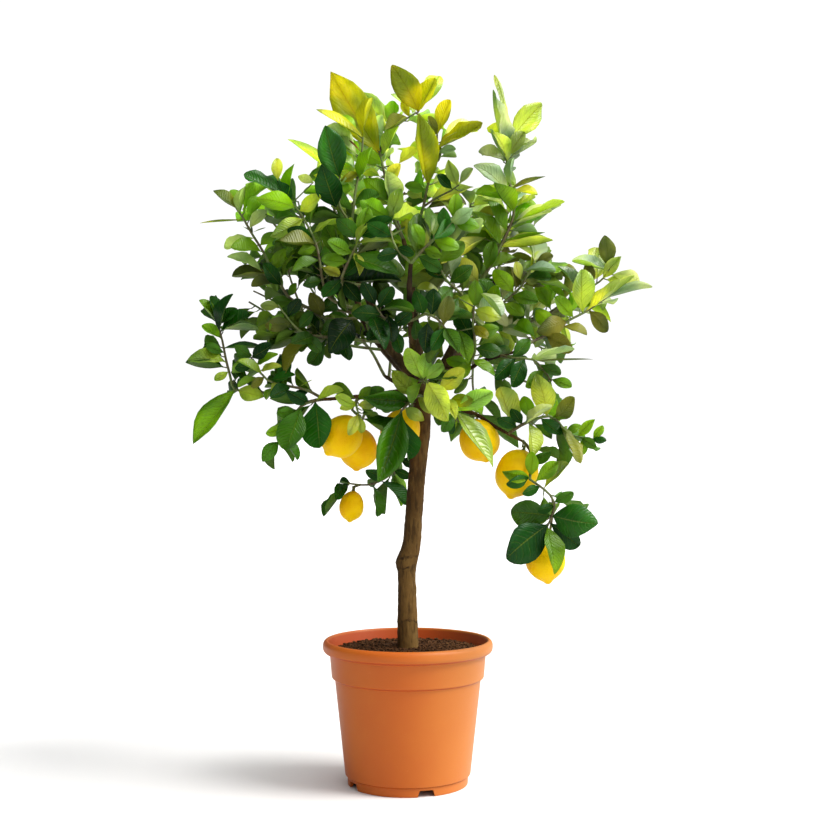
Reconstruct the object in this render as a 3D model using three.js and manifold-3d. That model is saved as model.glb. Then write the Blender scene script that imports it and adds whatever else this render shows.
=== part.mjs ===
// A lemon tree grown as a small standard, standing in a round plastic nursery pot.
// Millimetres, +Z up. The pot stands on z = 0, and the front of the tree faces -Y.
//
// The pieces are the pot, the soil, the wood of the trunk with its limbs, the leafy shoots that
// grow on the limbs, and the lemons on their stalks. Places in the crown are written as they look
// from the front, from EYE, as [across, height, depth]: seen() turns them into real places.

import * as THREE from "three";
import { mergeVertices } from "three/addons/utils/BufferGeometryUtils.js";
import Module from "manifold-3d";

// ---------------------------------------------------------------- driving dimensions

const GAP = 0.3;
const EYE = { across: 15.7, height: 469, distance: 1860 };

const POT = {
  height: 185.5, rimRadius: 110, rimInner: 102.5, rimBottom: 169.5, collarRadius: 101, collarBottom: 137.5,
  bodyTop: 94.4, bodyBottom: 81, footRadius: 77.5, footHeight: 12.5, footRing: 3, wall: 3, floorBottom: 8.5,
  sides: 30,
};
const NOTCH = { bottom: 25, top: 18, height: 8.5, depth: 14, below: 4, angles: [-72, 27, 108, 207] };
const DRAIN_HOLE = { radius: 5, ring: 42, count: 6, depth: 30, sides: 8 };
const SOIL = { edgeHeight: 173, crownHeight: 176.5, clearance: 0.4 };

const WOOD_SIDES = 8;
const LIMB_SIDES = 6;
const TWIG_SIDES = 3;
const TWIG_TAPER = 0.55;
const KNOT_STEP = 5;

const LEAF = {
  thickness: 0.8, stemRadius: 0.6, camber: 0.07, fold: 0.2, slenderness: 0.5, widest: 36,
  stalkFrom: 4, longStalk: 12, twoStationLength: 78, clearance: 2.6, ownClearance: 1, woodClearance: 3.4,
  rootFree: 9, rootSpread: 0.4, meetSpread: 0.15, jointInset: 0.04, rowStep: 6, columnStep: 14, nearby: 16,
};
const LEANS = [-0.2, -0.45, 0.12, -0.7, 0.35, -0.95, 0.6, 0.85];
const ROLLS = [0, 0.4, -0.4];
const FILL = {
  firstShare: 0.22, lastShare: 0.985, shortest: 44, longest: 74, shrink: 0.95, pitch: 0.85, droop: 0.18,
  petiole: 8, turn: 2.4, tries: 14,
};
const DICE_SEED = 20241;
const FRUIT = { sides: 12, stalkSides: 5, stalkRadius: 2.4, stalkTip: 0.9, noseRoom: 6, sideRoom: 3 };

const LEAF_TONES = [
  0x17402a, 0x1f4d27, 0x2c6428, 0x3d7a2c, 0x5c9a33, 0x84b23c, 0xa8b64a, 0x8fae74, 0x55651f, 0x7a4a2c,
];
const COLORS = { pot: 0xd9703c, soil: 0x33251b, bark: 0x6f5a3c, peel: 0xf4c81f };

// ---------------------------------------------------------------- the tree, as it looks from the front

// [height, across, depth, radius]
const TRUNK = [
  [118, 0, 0, 13.4], [176, 0, 0, 13], [262, -1.2, 0, 10.9], [276, -1.6, 0, 11.8], [285, -2, 0, 13],
  [306, 4.4, 0, 11.3], [350, 8, 0, 10.5], [404, 12.4, 0, 10.5], [455, 17.5, 0, 11], [500, 18, 0, 10.6],
  [514, 17, 0, 8.6],
];

// name: [radius at the fork, radius at the end, [[across, height, depth], ...]]
const LIMBS = {
  left: [8.4, 3.4, [[17, 492, 0], [8, 522, -8], [-10, 545, -16], [-25, 565, -22], [-36, 592, -28],
    [-50, 624, -36], [-67, 656, -44], [-85, 690, -50], [-101, 716, -50]]],
  centre: [8, 3.2, [[18, 495, 2], [17, 530, 6], [13, 560, 10], [10, 590, 14], [6, 630, 16], [1, 672, 14],
    [-6, 704, 8]]],
  right: [8, 3.8, [[20, 490, 0], [34, 518, -10], [52, 550, -22], [66, 582, -32], [76, 612, -38],
    [84, 637, -40]]],
  back_left: [7.4, 3, [[16, 500, 4], [-4, 530, 44], [-32, 562, 84], [-58, 600, 112], [-72, 650, 130],
    [-80, 690, 138]]],
  back_right: [7.4, 3, [[20, 498, 5], [42, 528, 44], [70, 560, 84], [96, 600, 112], [112, 650, 128]]],
  front: [6.6, 2.8, [[18, 496, -3], [15, 522, -42], [8, 554, -88], [4, 596, -126], [2, 640, -150],
    [4, 672, -160]]],
  right_arm: [4.2, 2.5, [[45, 538, -18], [75, 534, -46], [95, 545, -56], [118, 552, -62], [140, 558, -64],
    [160, 570, -64]]],
  left_arm: [5, 2.7, [[12, 510, -6], [-20, 505, -40], [-66, 499, -66], [-115, 495, -76], [-143, 490, -76]]],
  low_right: [4.8, 2.7, [[19, 487, -3], [52, 486, -34], [88, 476, -58], [110, 462, -68], [132, 450, -72],
    [150, 441, -72]]],
  low_back: [4.8, 2.7, [[17, 496, 5], [8, 506, 52], [-10, 514, 104], [-30, 526, 150]]],
};

// [name, [[radius, leaves to fill in, [[across, height, depth], ...]], ...] twigs,
//  [[stalk across, stalk height, tip across, tip height, seen width, tone], ...] leaves]
const SHOOTS = [
  ["shoot_top_left", [
    [2.4, 4, [[-85, 690, -50], [-74, 722, -50], [-70, 745, -48], [-68, 765, -46], [-63, 790, -44],
      [-60, 810, -42], [-58, 835, -40]]],
    [1.8, 2, [[-74, 722, -50], [-88, 745, -60], [-91, 765, -62], [-88, 784, -62]]],
  ], [
    [-86, 783, -108, 850, 40, 1], [-93, 745, -112, 800, 35, 0], [-90, 784, -155, 834, 12, 5],
    [-58, 835, -118, 872, 16, 6], [-63, 815, -76, 831, 9, 9], [-64, 790, -88, 778, 14, 6],
    [-58, 835, -48, 887, 20, 6], [-66, 780, -46, 822, 20, 3], [-73, 740, -112, 768, 24, 2],
  ]],
  ["shoot_top_stem", [
    [2.4, 4, [[-6, 704, 8], [-18, 728, 0], [-22, 745, -6], [-28, 775, -12], [-32, 795, -14],
      [-37, 815, -14]]],
    [1.7, 2, [[-37, 815, -14], [-25, 840, -12], [0, 860, -8], [14, 868, -4]]],
  ], [
    [-37, 815, -101, 921, 50, 6], [-32, 812, -12, 850, 20, 4], [-30, 772, -10, 800, 20, 5],
    [-22, 740, -25, 790, 22, 7], [-12, 800, 10, 822, 15, 5], [0, 860, -30, 845, 16, 8],
    [2, 861, -8, 884, 13, 6], [17, 867, -18, 928, 35, 6], [10, 866, -22, 892, 16, 7],
    [14, 868, 36, 912, 22, 6],
    [-34, 800, -62, 815, 20, 3], [-24, 752, -58, 782, 22, 3],
  ]],
  ["shoot_top_centre", [
    [2.3, 3, [[2, 668, 14], [12, 718, 4], [20, 745, -4], [25, 770, -10], [32, 795, -12], [37, 815, -12],
      [38, 838, -10]]],
    [1.6, 1, [[20, 745, -4], [38, 757, -14], [56, 766, -20], [66, 773, -22]]],
  ], [
    [26, 772, 15, 866, 28, 6], [29, 780, 43, 822, 12, 8], [38, 820, 98, 852, 20, 6],
    [38, 838, 54, 884, 24, 6],
    [37, 815, 62, 820, 14, 7], [64, 772, 52, 806, 20, 5], [58, 767, 38, 786, 16, 1],
    [30, 750, 85, 772, 25, 5],
    [66, 773, 84, 795, 14, 7], [34, 805, 12, 838, 18, 6], [24, 766, -4, 772, 18, 3],
    [38, 838, 26, 862, 14, 8],
  ]],
  ["shoot_top_right", [
    [2.8, 6, [[84, 637, -40], [94, 648, -42], [110, 675, -44], [118, 690, -44], [128, 710, -44],
      [137, 735, -42], [135, 760, -38], [130, 785, -34], [128, 806, -32], [133, 832, -30]]],
  ], [
    [128, 812, 107, 896, 28, 4], [133, 832, 172, 878, 32, 6], [130, 808, 151, 842, 22, 5],
    [133, 822, 166, 829, 14, 7], [127, 803, 92, 818, 16, 7], [126, 806, 105, 844, 18, 7],
    [129, 800, 115, 842, 16, 4], [135, 770, 136, 809, 14, 7], [135, 765, 168, 762, 14, 6],
    [132, 832, 112, 916, 9, 5], [134, 768, 178, 785, 10, 6], [136, 722, 203, 752, 14, 4],
    [132, 714, 171, 740, 20, 6], [120, 692, 188, 703, 20, 5], [130, 760, 90, 802, 22, 7],
    [101, 705, 43, 672, 22, 5], [92, 645, 60, 681, 24, 5], [100, 660, 112, 700, 22, 3],
    [120, 695, 80, 742, 26, 3], [112, 680, 76, 712, 24, 3], [128, 712, 104, 752, 22, 5],
    [137, 738, 112, 776, 22, 3],
    [104, 664, 140, 680, 20, 3],
  ]],
  ["shoot_right_front", [
    [2.2, 4, [[74, 606, -37], [72, 628, -70], [50, 650, -100], [40, 670, -110], [30, 692, -114]]],
  ], [
    [30, 692, -7, 729, 25, 5], [34, 682, -4, 658, 20, 3], [44, 662, 14, 640, 22, 2],
    [40, 672, 72, 700, 26, 3],
    [54, 647, 84, 668, 24, 2], [30, 692, 48, 728, 18, 1], [60, 642, 34, 622, 24, 2],
  ]],
  ["shoot_right_mid", [
    [2.2, 4, [[66, 582, -32], [92, 600, -44], [120, 618, -50], [145, 640, -54], [154, 655, -54],
      [164, 672, -52]]],
  ], [
    [163, 671, 188, 682, 16, 8], [146, 650, 139, 674, 17, 5], [150, 662, 191, 663, 16, 7],
    [152, 652, 186, 654, 14, 2], [150, 646, 163, 626, 14, 4], [148, 640, 177, 642, 14, 6],
    [118, 617, 92, 650, 26, 2], [124, 620, 150, 604, 26, 3], [104, 608, 118, 642, 28, 3],
    [138, 632, 112, 664, 24, 3],
    [98, 603, 122, 584, 24, 2], [134, 628, 168, 622, 22, 3],
  ]],
  ["shoot_right_high", [
    [2.3, 4, [[58, 566, -27], [90, 580, -22], [118, 586, -14], [150, 593, -8], [178, 605, -8],
      [198, 618, -10],
      [225, 634, -12], [248, 648, -14], [262, 662, -14]]],
  ], [
    [258, 668, 256, 708, 30, 8], [262, 662, 213, 676, 20, 7], [252, 652, 276, 681, 20, 6],
    [222, 633, 196, 669, 20, 7], [186, 610, 168, 646, 22, 3], [150, 593, 134, 628, 24, 2],
    [205, 622, 236, 618, 18, 3], [166, 600, 196, 588, 18, 2], [240, 643, 232, 672, 16, 8],
  ]],
  ["shoot_right_tip", [
    [2.2, 3, [[158, 569, -64], [175, 577, -58], [190, 584, -54], [207, 597, -50], [228, 608, -46],
      [242, 617, -44], [255, 626, -42]]],
  ], [
    [226, 607, 225, 664, 33, 4], [230, 609, 293, 656, 22, 5], [255, 626, 316, 644, 11, 6],
    [234, 611, 259, 584, 25, 5], [206, 596, 168, 584, 36, 8], [190, 584, 166, 612, 26, 3],
    [178, 578, 214, 560, 26, 8], [215, 601, 190, 628, 22, 3], [198, 590, 232, 580, 16, 6],
    [168, 573, 140, 594, 24, 3],
  ]],
  ["shoot_right_low", [
    [2, 2, [[120, 553, -62], [135, 549, -76], [150, 549, -82], [162, 547, -84], [175, 535, -86],
      [186, 519, -86]]],
  ], [
    [158, 549, 216, 561, 12, 7], [164, 545, 240, 548, 8, 6], [140, 549, 112, 523, 26, 1],
    [170, 540, 198, 528, 18, 2],
    [176, 533, 152, 512, 20, 3], [186, 519, 172, 494, 22, 3], [184, 522, 212, 512, 16, 3],
    [134, 549, 158, 573, 22, 2],
    [152, 549, 134, 512, 24, 1],
  ]],
  ["shoot_left_high", [
    [2.6, 4, [[-42, 606, -31], [-75, 600, -50], [-107, 600, -58], [-125, 612, -58], [-145, 622, -56],
      [-156, 630, -54], [-165, 645, -50], [-175, 662, -46], [-188, 688, -40], [-203, 712, -36],
      [-213, 730, -34],
      [-222, 743, -32]]],
  ], [
    [-222, 743, -252, 766, 13, 8], [-212, 728, -270, 724, 8, 6], [-217, 736, -211, 772, 14, 7],
    [-206, 716, -184, 741, 22, 6], [-203, 711, -184, 718, 12, 5], [-199, 704, -238, 690, 13, 6],
    [-190, 690, -228, 693, 18, 8], [-184, 678, -232, 684, 14, 7], [-170, 655, -228, 657, 13, 8],
    [-166, 646, -203, 644, 14, 8], [-164, 642, -187, 671, 20, 1], [-155, 628, -144, 646, 15, 3],
    [-110, 602, -126, 634, 26, 8], [-118, 606, -92, 622, 24, 2], [-176, 664, -158, 690, 20, 3],
    [-192, 694, -172, 712, 18, 3], [-182, 675, -150, 672, 16, 3], [-136, 618, -164, 606, 22, 2],
    [-146, 623, -178, 622, 18, 3], [-88, 600, -112, 578, 24, 2],
  ]],
  ["shoot_left_upright", [
    [2.3, 5, [[-46, 614, -34], [-78, 616, -62], [-102, 628, -84], [-110, 648, -88], [-113, 668, -86],
      [-120, 700, -78], [-140, 738, -64], [-158, 757, -56]]],
  ], [
    [-158, 757, -212, 788, 15, 1], [-158, 757, -170, 808, 16, 5], [-157, 756, -148, 801, 18, 3],
    [-152, 750, -170, 779, 14, 0], [-140, 740, -132, 781, 14, 6], [-146, 744, -194, 757, 25, 5],
    [-134, 730, -178, 706, 26, 4], [-130, 722, -112, 762, 26, 5], [-122, 706, -156, 716, 18, 1],
    [-118, 696, -166, 702, 18, 8], [-114, 676, -150, 662, 16, 3], [-113, 668, -88, 656, 16, 5],
    [-124, 710, -84, 728, 14, 4], [-115, 682, -84, 694, 26, 2], [-110, 650, -136, 644, 22, 2],
    [-118, 692, -142, 686, 22, 3], [-104, 634, -78, 640, 28, 1],
  ]],
  ["shoot_left_mid", [
    [2.4, 5, [[-28, 569, -23], [-60, 572, -60], [-100, 576, -84], [-132, 580, -88], [-150, 594, -86],
      [-168, 618, -80]]],
  ], [
    [-166, 616, -191, 618, 20, 5], [-150, 594, -185, 592, 24, 8], [-156, 602, -140, 626, 20, 0],
    [-124, 579, -163, 533, 18, 8], [-134, 582, -114, 556, 20, 2], [-112, 577, -142, 560, 16, 3],
    [-72, 574, -97, 556, 28, 1], [-66, 573, -92, 602, 36, 0], [-160, 608, -178, 582, 20, 3],
    [-142, 588, -122, 608, 22, 2], [-86, 575, -76, 546, 26, 1], [-104, 577, -126, 540, 22, 2],
    [-120, 579, -150, 568, 20, 2],
  ]],
  ["shoot_outer_left", [
    [2.3, 1, [[-140, 490, -76], [-160, 496, -72], [-185, 504, -66], [-205, 508, -60], [-224, 508, -56],
      [-231, 530, -52], [-236, 550, -50], [-240, 571, -48], [-246, 592, -46]]],
  ], [
    [-246, 592, -269, 625, 10, 3], [-246, 592, -254, 630, 14, 1], [-243, 585, -231, 631, 22, 0],
    [-242, 582, -206, 608, 16, 1], [-243, 585, -194, 588, 13, 7], [-240, 573, -266, 592, 13, 3],
    [-238, 562, -184, 563, 13, 1], [-234, 543, -285, 550, 18, 4], [-224, 507, -279, 439, 28, 3],
    [-220, 508, -188, 499, 25, 4], [-237, 556, -262, 566, 14, 2], [-232, 532, -250, 520, 18, 4],
    [-246, 592, -222, 614, 16, 1],
  ]],
  ["shoot_left_arm", [
    [2, 2, [[-108, 496, -75], [-132, 508, -88], [-160, 514, -92], [-182, 521, -92], [-196, 538, -90],
      [-203, 550, -86]]],
  ], [
    [-188, 527, -219, 546, 14, 4], [-197, 540, -168, 554, 14, 3], [-192, 532, -164, 538, 13, 5],
    [-198, 542, -224, 536, 16, 1], [-186, 524, -203, 512, 14, 8], [-178, 519, -146, 527, 15, 1],
    [-176, 518, -163, 499, 15, 5], [-142, 511, -124, 521, 9, 4], [-150, 512, -178, 500, 18, 1],
    [-203, 550, -176, 566, 22, 0], [-203, 550, -224, 566, 18, 2], [-128, 506, -150, 496, 20, 0],
    [-166, 515, -152, 548, 22, 1],
  ]],
  ["shoot_lower_left", [
    [2, 1, [[-112, 495, -76], [-124, 493, -96], [-138, 487, -104], [-150, 472, -104], [-160, 455, -102],
      [-167, 441, -98]]],
  ], [
    [-138, 486, -158, 430, 36, 3], [-120, 492, -114, 433, 45, 1], [-167, 441, -189, 416, 22, 2],
    [-164, 446, -142, 418, 14, 2], [-120, 494, -84, 508, 17, 4], [-128, 492, -158, 508, 20, 0],
    [-116, 495, -92, 480, 20, 1], [-158, 458, -184, 452, 16, 3], [-144, 480, -170, 478, 18, 2],
  ]],
  ["shoot_over_lemons", [
    [1.9, 1, [[-56, 500, -61], [-66, 494, -92], [-66, 484, -106], [-63, 474, -110]]],
  ], [
    [-64, 492, -88, 484, 18, 5], [-65, 488, -42, 490, 17, 5], [-63, 476, -60, 452, 14, 4],
    [-64, 478, -77, 450, 16, 5], [-62, 496, -30, 508, 22, 2], [-66, 486, -94, 500, 16, 4],
    [-64, 494, -48, 512, 22, 3],
  ]],
  ["shoot_hanging_leaf", [
    [2.4, 1, [[18, 500, -10], [12, 500, -70], [2, 492, -104], [-9, 480, -116]]],
  ], [
    [-9, 480, -38, 388, 46, 0], [10, 492, -34, 482, 15, 4], [4, 494, -57, 498, 32, 2],
    [10, 500, -21, 530, 24, 4], [12, 499, 34, 480, 20, 5], [-4, 486, 20, 468, 20, 5],
    [8, 498, 26, 520, 22, 5],
  ]],
  ["shoot_front_tuft", [
    [2.4, 1, [[15, 520, -40], [17, 520, -90], [20, 521, -120], [26, 518, -134]]],
    [1.9, 1, [[17, 520, -90], [36, 510, -114], [52, 494, -124], [62, 480, -126], [66, 466, -124]]],
  ], [
    [18, 521, 0, 563, 25, 7], [24, 518, 53, 467, 34, 5], [40, 508, 74, 534, 38, 7],
    [62, 480, 109, 506, 25, 4],
    [20, 519, 3, 492, 14, 5], [22, 521, 46, 540, 18, 7], [36, 509, 26, 486, 18, 5],
    [60, 482, 44, 454, 18, 2],
    [62, 480, 112, 408, 28, 5], [16, 520, -14, 514, 20, 4], [20, 521, 24, 556, 24, 4],
    [52, 494, 84, 496, 30, 6],
    [50, 496, 62, 470, 20, 4],
  ]],
  ["shoot_centre_right", [
    [2.3, 5, [[75, 534, -46], [82, 545, -84], [87, 560, -106], [86, 578, -120], [84, 596, -126],
      [86, 616, -126]]],
  ], [
    [86, 552, 61, 583, 30, 4], [86, 570, 64, 608, 24, 1], [84, 592, 104, 574, 18, 6],
    [86, 612, 120, 600, 28, 4],
    [84, 548, 112, 526, 16, 3], [84, 600, 53, 634, 26, 8], [86, 616, 88, 650, 28, 3],
    [80, 540, 50, 548, 26, 3],
    [87, 562, 122, 556, 24, 2], [86, 580, 118, 588, 22, 3], [82, 546, 62, 520, 24, 3],
  ]],
  ["shoot_centre_left", [
    [2.4, 5, [[-60, 643, -41], [-78, 646, -84], [-86, 650, -124], [-78, 672, -140], [-68, 692, -144],
      [-62, 708, -142]]],
  ], [
    [-86, 646, -8, 650, 32, 0], [-74, 680, -12, 660, 25, 8], [-70, 686, -62, 656, 14, 5],
    [-66, 697, -7, 701, 17, 4],
    [-62, 708, -20, 728, 25, 1], [-64, 704, -92, 730, 26, 2], [-76, 674, -112, 676, 26, 3],
    [-84, 652, -110, 628, 26, 1],
    [-84, 648, -62, 622, 28, 1], [-62, 708, -52, 744, 24, 3], [-72, 684, -104, 700, 22, 3],
  ]],
  ["shoot_centre_front", [
    [2.2, 3, [[4, 672, -160], [18, 688, -168], [34, 703, -170], [48, 715, -168], [60, 728, -162]]],
    [1.8, 1, [[4, 672, -160], [-14, 690, -164], [-22, 710, -160], [-24, 732, -150]]],
  ], [
    [46, 712, 47, 744, 18, 1], [56, 722, 84, 742, 20, 7], [34, 702, 66, 690, 24, 3],
    [22, 692, 6, 722, 22, 3],
    [-18, 699, -56, 709, 26, 1], [-24, 732, -60, 752, 24, 3], [-24, 732, -8, 768, 24, 4],
    [60, 728, 62, 762, 22, 3],
    [12, 682, 44, 664, 22, 2], [-10, 686, -40, 680, 22, 1], [60, 728, 92, 718, 22, 3],
  ]],
  ["shoot_centre_low", [
    [2.2, 4, [[4, 596, -126], [22, 606, -142], [38, 600, -150], [48, 588, -152]]],
    [2, 4, [[13, 601, -134], [-10, 594, -138], [-32, 602, -140], [-42, 618, -138]]],
  ], [
    [46, 590, 52, 630, 26, 8], [-20, 588, 4, 610, 22, 1], [48, 588, 30, 560, 26, 1],
    [48, 588, 66, 556, 22, 2],
    [-36, 604, -72, 608, 26, 1], [-40, 612, -20, 642, 26, 1], [-42, 618, -58, 648, 24, 0],
    [-26, 592, -52, 572, 26, 1],
    [20, 605, 10, 636, 24, 1], [30, 603, 34, 640, 24, 0], [-18, 586, -8, 556, 24, 1],
    [38, 600, 70, 612, 24, 2],
    [8, 602, 12, 572, 24, 2],
  ]],
  ["shoot_right_lower", [
    [2.2, 3, [[130, 451, -72], [146, 462, -84], [165, 470, -88], [183, 474, -90], [196, 465, -90],
      [206, 452, -88],
      [222, 447, -86], [240, 444, -82]]],
  ], [
    [180, 474, 168, 528, 30, 4], [192, 469, 216, 498, 26, 6], [204, 454, 224, 462, 14, 3],
    [220, 448, 242, 470, 16, 3],
    [222, 446, 244, 434, 14, 2], [238, 444, 257, 442, 13, 1], [196, 464, 222, 411, 15, 6],
    [156, 466, 164, 423, 18, 4],
    [172, 471, 198, 450, 20, 1], [148, 463, 134, 484, 16, 1], [142, 459, 116, 472, 18, 1],
    [150, 464, 186, 486, 18, 7],
    [136, 456, 120, 512, 24, 5], [206, 452, 232, 438, 14, 2], [186, 473, 210, 478, 14, 3],
    [240, 444, 252, 462, 14, 3],
    [160, 468, 150, 500, 22, 3], [212, 450, 206, 432, 14, 2], [228, 446, 226, 424, 12, 3],
  ]],
  ["shoot_right_hanging", [
    [2.2, 2, [[149, 442, -72], [158, 430, -90], [160, 410, -106], [158, 392, -114], [170, 384, -116],
      [184, 372, -116], [190, 358, -114], [186, 344, -112], [180, 330, -110]]],
  ], [
    [158, 394, 122, 402, 20, 3], [159, 396, 162, 428, 18, 3], [164, 388, 194, 414, 20, 3],
    [176, 380, 208, 414, 20, 4],
    [186, 344, 138, 356, 46, 2], [182, 334, 135, 283, 46, 0], [180, 330, 192, 272, 27, 3],
    [188, 340, 240, 366, 42, 1],
    [184, 336, 222, 305, 34, 0], [156, 396, 128, 386, 18, 1], [189, 362, 214, 376, 18, 2],
    [172, 383, 148, 374, 18, 1],
    [160, 412, 184, 428, 16, 2], [190, 358, 168, 352, 20, 1],
  ]],
  ["shoot_low_twig", [
    [2.2, 1, [[8, 508, 56], [4, 470, 50], [-4, 434, 42], [-14, 408, 36], [-30, 393, 30], [-52, 385, 24],
      [-78, 387, 18]]],
  ], [
    [-78, 387, -94, 367, 15, 1], [-58, 385, -84, 392, 14, 1], [-46, 387, -38, 344, 12, 2],
    [-36, 390, 0, 361, 16, 1],
    [-18, 403, 4, 396, 18, 1], [-8, 424, -34, 414, 20, 0], [-10, 418, 14, 410, 18, 0],
    [-28, 395, -54, 404, 18, 1],
    [-66, 386, -62, 366, 12, 2],
  ]],
  ["shoot_back_top", [
    [2.4, 6, [[-4, 695, 10], [-14, 730, 46], [-22, 775, 60], [-24, 815, 62], [-18, 848, 58]]],
    [1.8, 3, [[-14, 730, 46], [10, 760, 80], [28, 800, 92]]],
  ], []],
  ["shoot_back_top_left", [
    [2.3, 5, [[-80, 688, 138], [-92, 730, 138], [-104, 772, 124], [-110, 800, 112]]],
    [1.8, 3, [[-92, 730, 138], [-62, 760, 130], [-46, 790, 118]]],
  ], []],
  ["shoot_back_left_high", [
    [2.3, 5, [[-74, 655, 131], [-116, 680, 136], [-156, 704, 120], [-186, 738, 96]]],
    [1.8, 3, [[-116, 680, 136], [-134, 720, 150], [-142, 752, 140]]],
  ], []],
  ["shoot_back_left", [
    [2.3, 5, [[-60, 606, 114], [-110, 614, 142], [-158, 618, 150], [-200, 636, 138]]],
    [1.8, 3, [[-110, 614, 142], [-128, 644, 182], [-140, 670, 200]]],
  ], []],
  ["shoot_side_left", [
    [2.4, 6, [[-30, 560, 80], [-78, 566, 70], [-124, 580, 54], [-168, 600, 44], [-206, 622, 34]]],
    [1.8, 3, [[-124, 580, 54], [-148, 640, 36], [-160, 680, 28]]],
  ], []],
  ["shoot_back_low_left", [
    [2.3, 5, [[-30, 526, 150], [-54, 566, 158], [-98, 592, 152], [-138, 594, 136]]],
    [1.8, 3, [[-54, 566, 158], [-70, 596, 186], [-100, 620, 196]]],
  ], []],
  ["shoot_back_centre", [
    [2.3, 5, [[-24, 522, 138], [-20, 560, 190], [-6, 600, 214], [8, 645, 222]]],
    [1.8, 3, [[-20, 560, 190], [-58, 590, 216], [-84, 620, 222]]],
  ], []],
  ["shoot_back_high", [
    [2.3, 5, [[-70, 642, 127], [-50, 684, 172], [-26, 726, 184], [-4, 764, 172]]],
    [1.8, 3, [[-50, 684, 172], [-82, 706, 200], [-100, 736, 200]]],
  ], []],
  ["shoot_back_right_high", [
    [2.3, 5, [[112, 648, 127], [124, 690, 132], [126, 730, 120], [114, 764, 104]]],
    [1.8, 3, [[124, 690, 132], [144, 704, 124], [158, 716, 112]]],
  ], []],
  ["shoot_back_right", [
    [2.3, 5, [[104, 624, 119], [142, 646, 138], [172, 664, 124], [186, 676, 104]]],
    [1.8, 3, [[126, 638, 129], [112, 668, 176], [90, 704, 200]]],
  ], []],
  ["shoot_side_right", [
    [2.4, 6, [[92, 592, 106], [136, 596, 96], [180, 606, 78], [222, 626, 60]]],
    [1.8, 3, [[136, 596, 96], [166, 566, 108], [196, 556, 110]]],
  ], []],
  ["shoot_back_low_right", [
    [2.3, 5, [[66, 555, 78], [106, 534, 104], [148, 520, 116], [186, 510, 108]]],
    [1.8, 3, [[84, 545, 90], [84, 514, 132], [88, 486, 150], [92, 458, 156]]],
  ], []],
  ["shoot_inner_right", [
    [2.2, 5, [[8, 612, 15], [38, 640, 34], [62, 676, 42], [74, 716, 40], [82, 750, 30]]],
    [1.8, 3, [[38, 640, 34], [60, 640, 84], [52, 664, 130]]],
  ], []],
  ["shoot_inner_left", [
    [2.2, 5, [[-48, 620, -35], [-50, 650, 8], [-60, 690, 40], [-72, 726, 52]]],
    [1.8, 3, [[-50, 650, 8], [-90, 660, 20], [-124, 690, 30]]],
  ], []],
];

// name: [centre across, height, depth, radius, half length, nose direction, stalk from the fruit to the wood]
const LEMONS = {
  lemon_left: [-86, 447, -76, 26, 30.5, [-0.62, -0.2, -0.72], [[-72, 482, -66], [-64, 499, -66]]],
  lemon_left_back: [-64, 431, -14, 25, 28.5, [-0.1, 0.1, -1], [[-58, 472, -28], [-46, 501, -55]]],
  lemon_centre: [-10, 454, -30, 25.5, 31, [-0.35, -0.15, -0.9], [[-2, 492, -26], [-8, 506, -29]]],
  lemon_small: [-73, 357, 16, 16.5, 21, [-0.12, -0.1, -1], [[-71, 382, 22], [-60, 386, 22]]],
  lemon_right: [93, 442, -62, 25.5, 28.5, [0.35, -0.15, -0.92], [[92, 474, -60], [91, 474, -59]]],
  lemon_low_right: [141, 399, -76, 27, 32.5, [-0.28, -0.1, -0.96], [[148, 434, -74], [150, 440, -72]]],
  lemon_lowest: [178, 288, -78, 25, 30, [0.12, -0.1, -1], [[183, 324, -82], [189, 350, -108]]],
};

// ---------------------------------------------------------------- joining and cutting

const wasm = await Module();
wasm.setup();

/** A closed mesh with only its positions, its shared corners merged. */
function bare(geometry) {
  const positions = new THREE.BufferGeometry();
  positions.setAttribute("position", geometry.getAttribute("position"));
  positions.setIndex(geometry.getIndex());
  return mergeVertices(positions, 1e-4);
}

function solid(geometry) {
  const merged = bare(geometry);
  return new wasm.Manifold(new wasm.Mesh({
    numProp: 3,
    vertProperties: new Float32Array(merged.getAttribute("position").array),
    triVerts: new Uint32Array(merged.getIndex().array),
  }));
}

function geometryOf(manifold) {
  const mesh = manifold.getMesh();
  const geometry = new THREE.BufferGeometry();
  geometry.setAttribute("position", new THREE.BufferAttribute(new Float32Array(mesh.vertProperties), 3));
  geometry.setIndex(new THREE.BufferAttribute(new Uint32Array(mesh.triVerts), 1));
  geometry.computeVertexNormals();
  return geometry;
}

function joined(solids) {
  return solids.reduce((whole, next) => whole.add(next));
}

// ---------------------------------------------------------------- places, chance and small helpers

/** The real place of a point that is given as it looks from the front. */
function seen([across, height, depth]) {
  const spread = (EYE.distance + depth) / EYE.distance;
  return new THREE.Vector3(
    EYE.across + (across - EYE.across) * spread,
    depth,
    EYE.height + (height - EYE.height) * spread,
  );
}

/** The same run of numbers between 0 and 1 every time. */
class Dice {
  constructor(seed) {
    this.state = seed;
  }

  next() {
    this.state = (this.state * 16807) % 2147483647;
    return this.state / 2147483647;
  }
}

function mix(a, b, t) {
  return a + (b - a) * t;
}

function nearestOnSegment(point, a, b) {
  const along = b.clone().sub(a);
  const t = THREE.MathUtils.clamp(point.clone().sub(a).dot(along) / along.lengthSq(), 0, 1);
  return a.clone().addScaledVector(along, t);
}

function nearestOnPath(point, path) {
  let best = path[0];
  for (let i = 0; i + 1 < path.length; i += 1) {
    const place = nearestOnSegment(point, path[i], path[i + 1]);
    if (place.distanceTo(point) < best.distanceTo(point)) {
      best = place;
    }
  }
  return best;
}

// ---------------------------------------------------------------- lofted shapes

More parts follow.
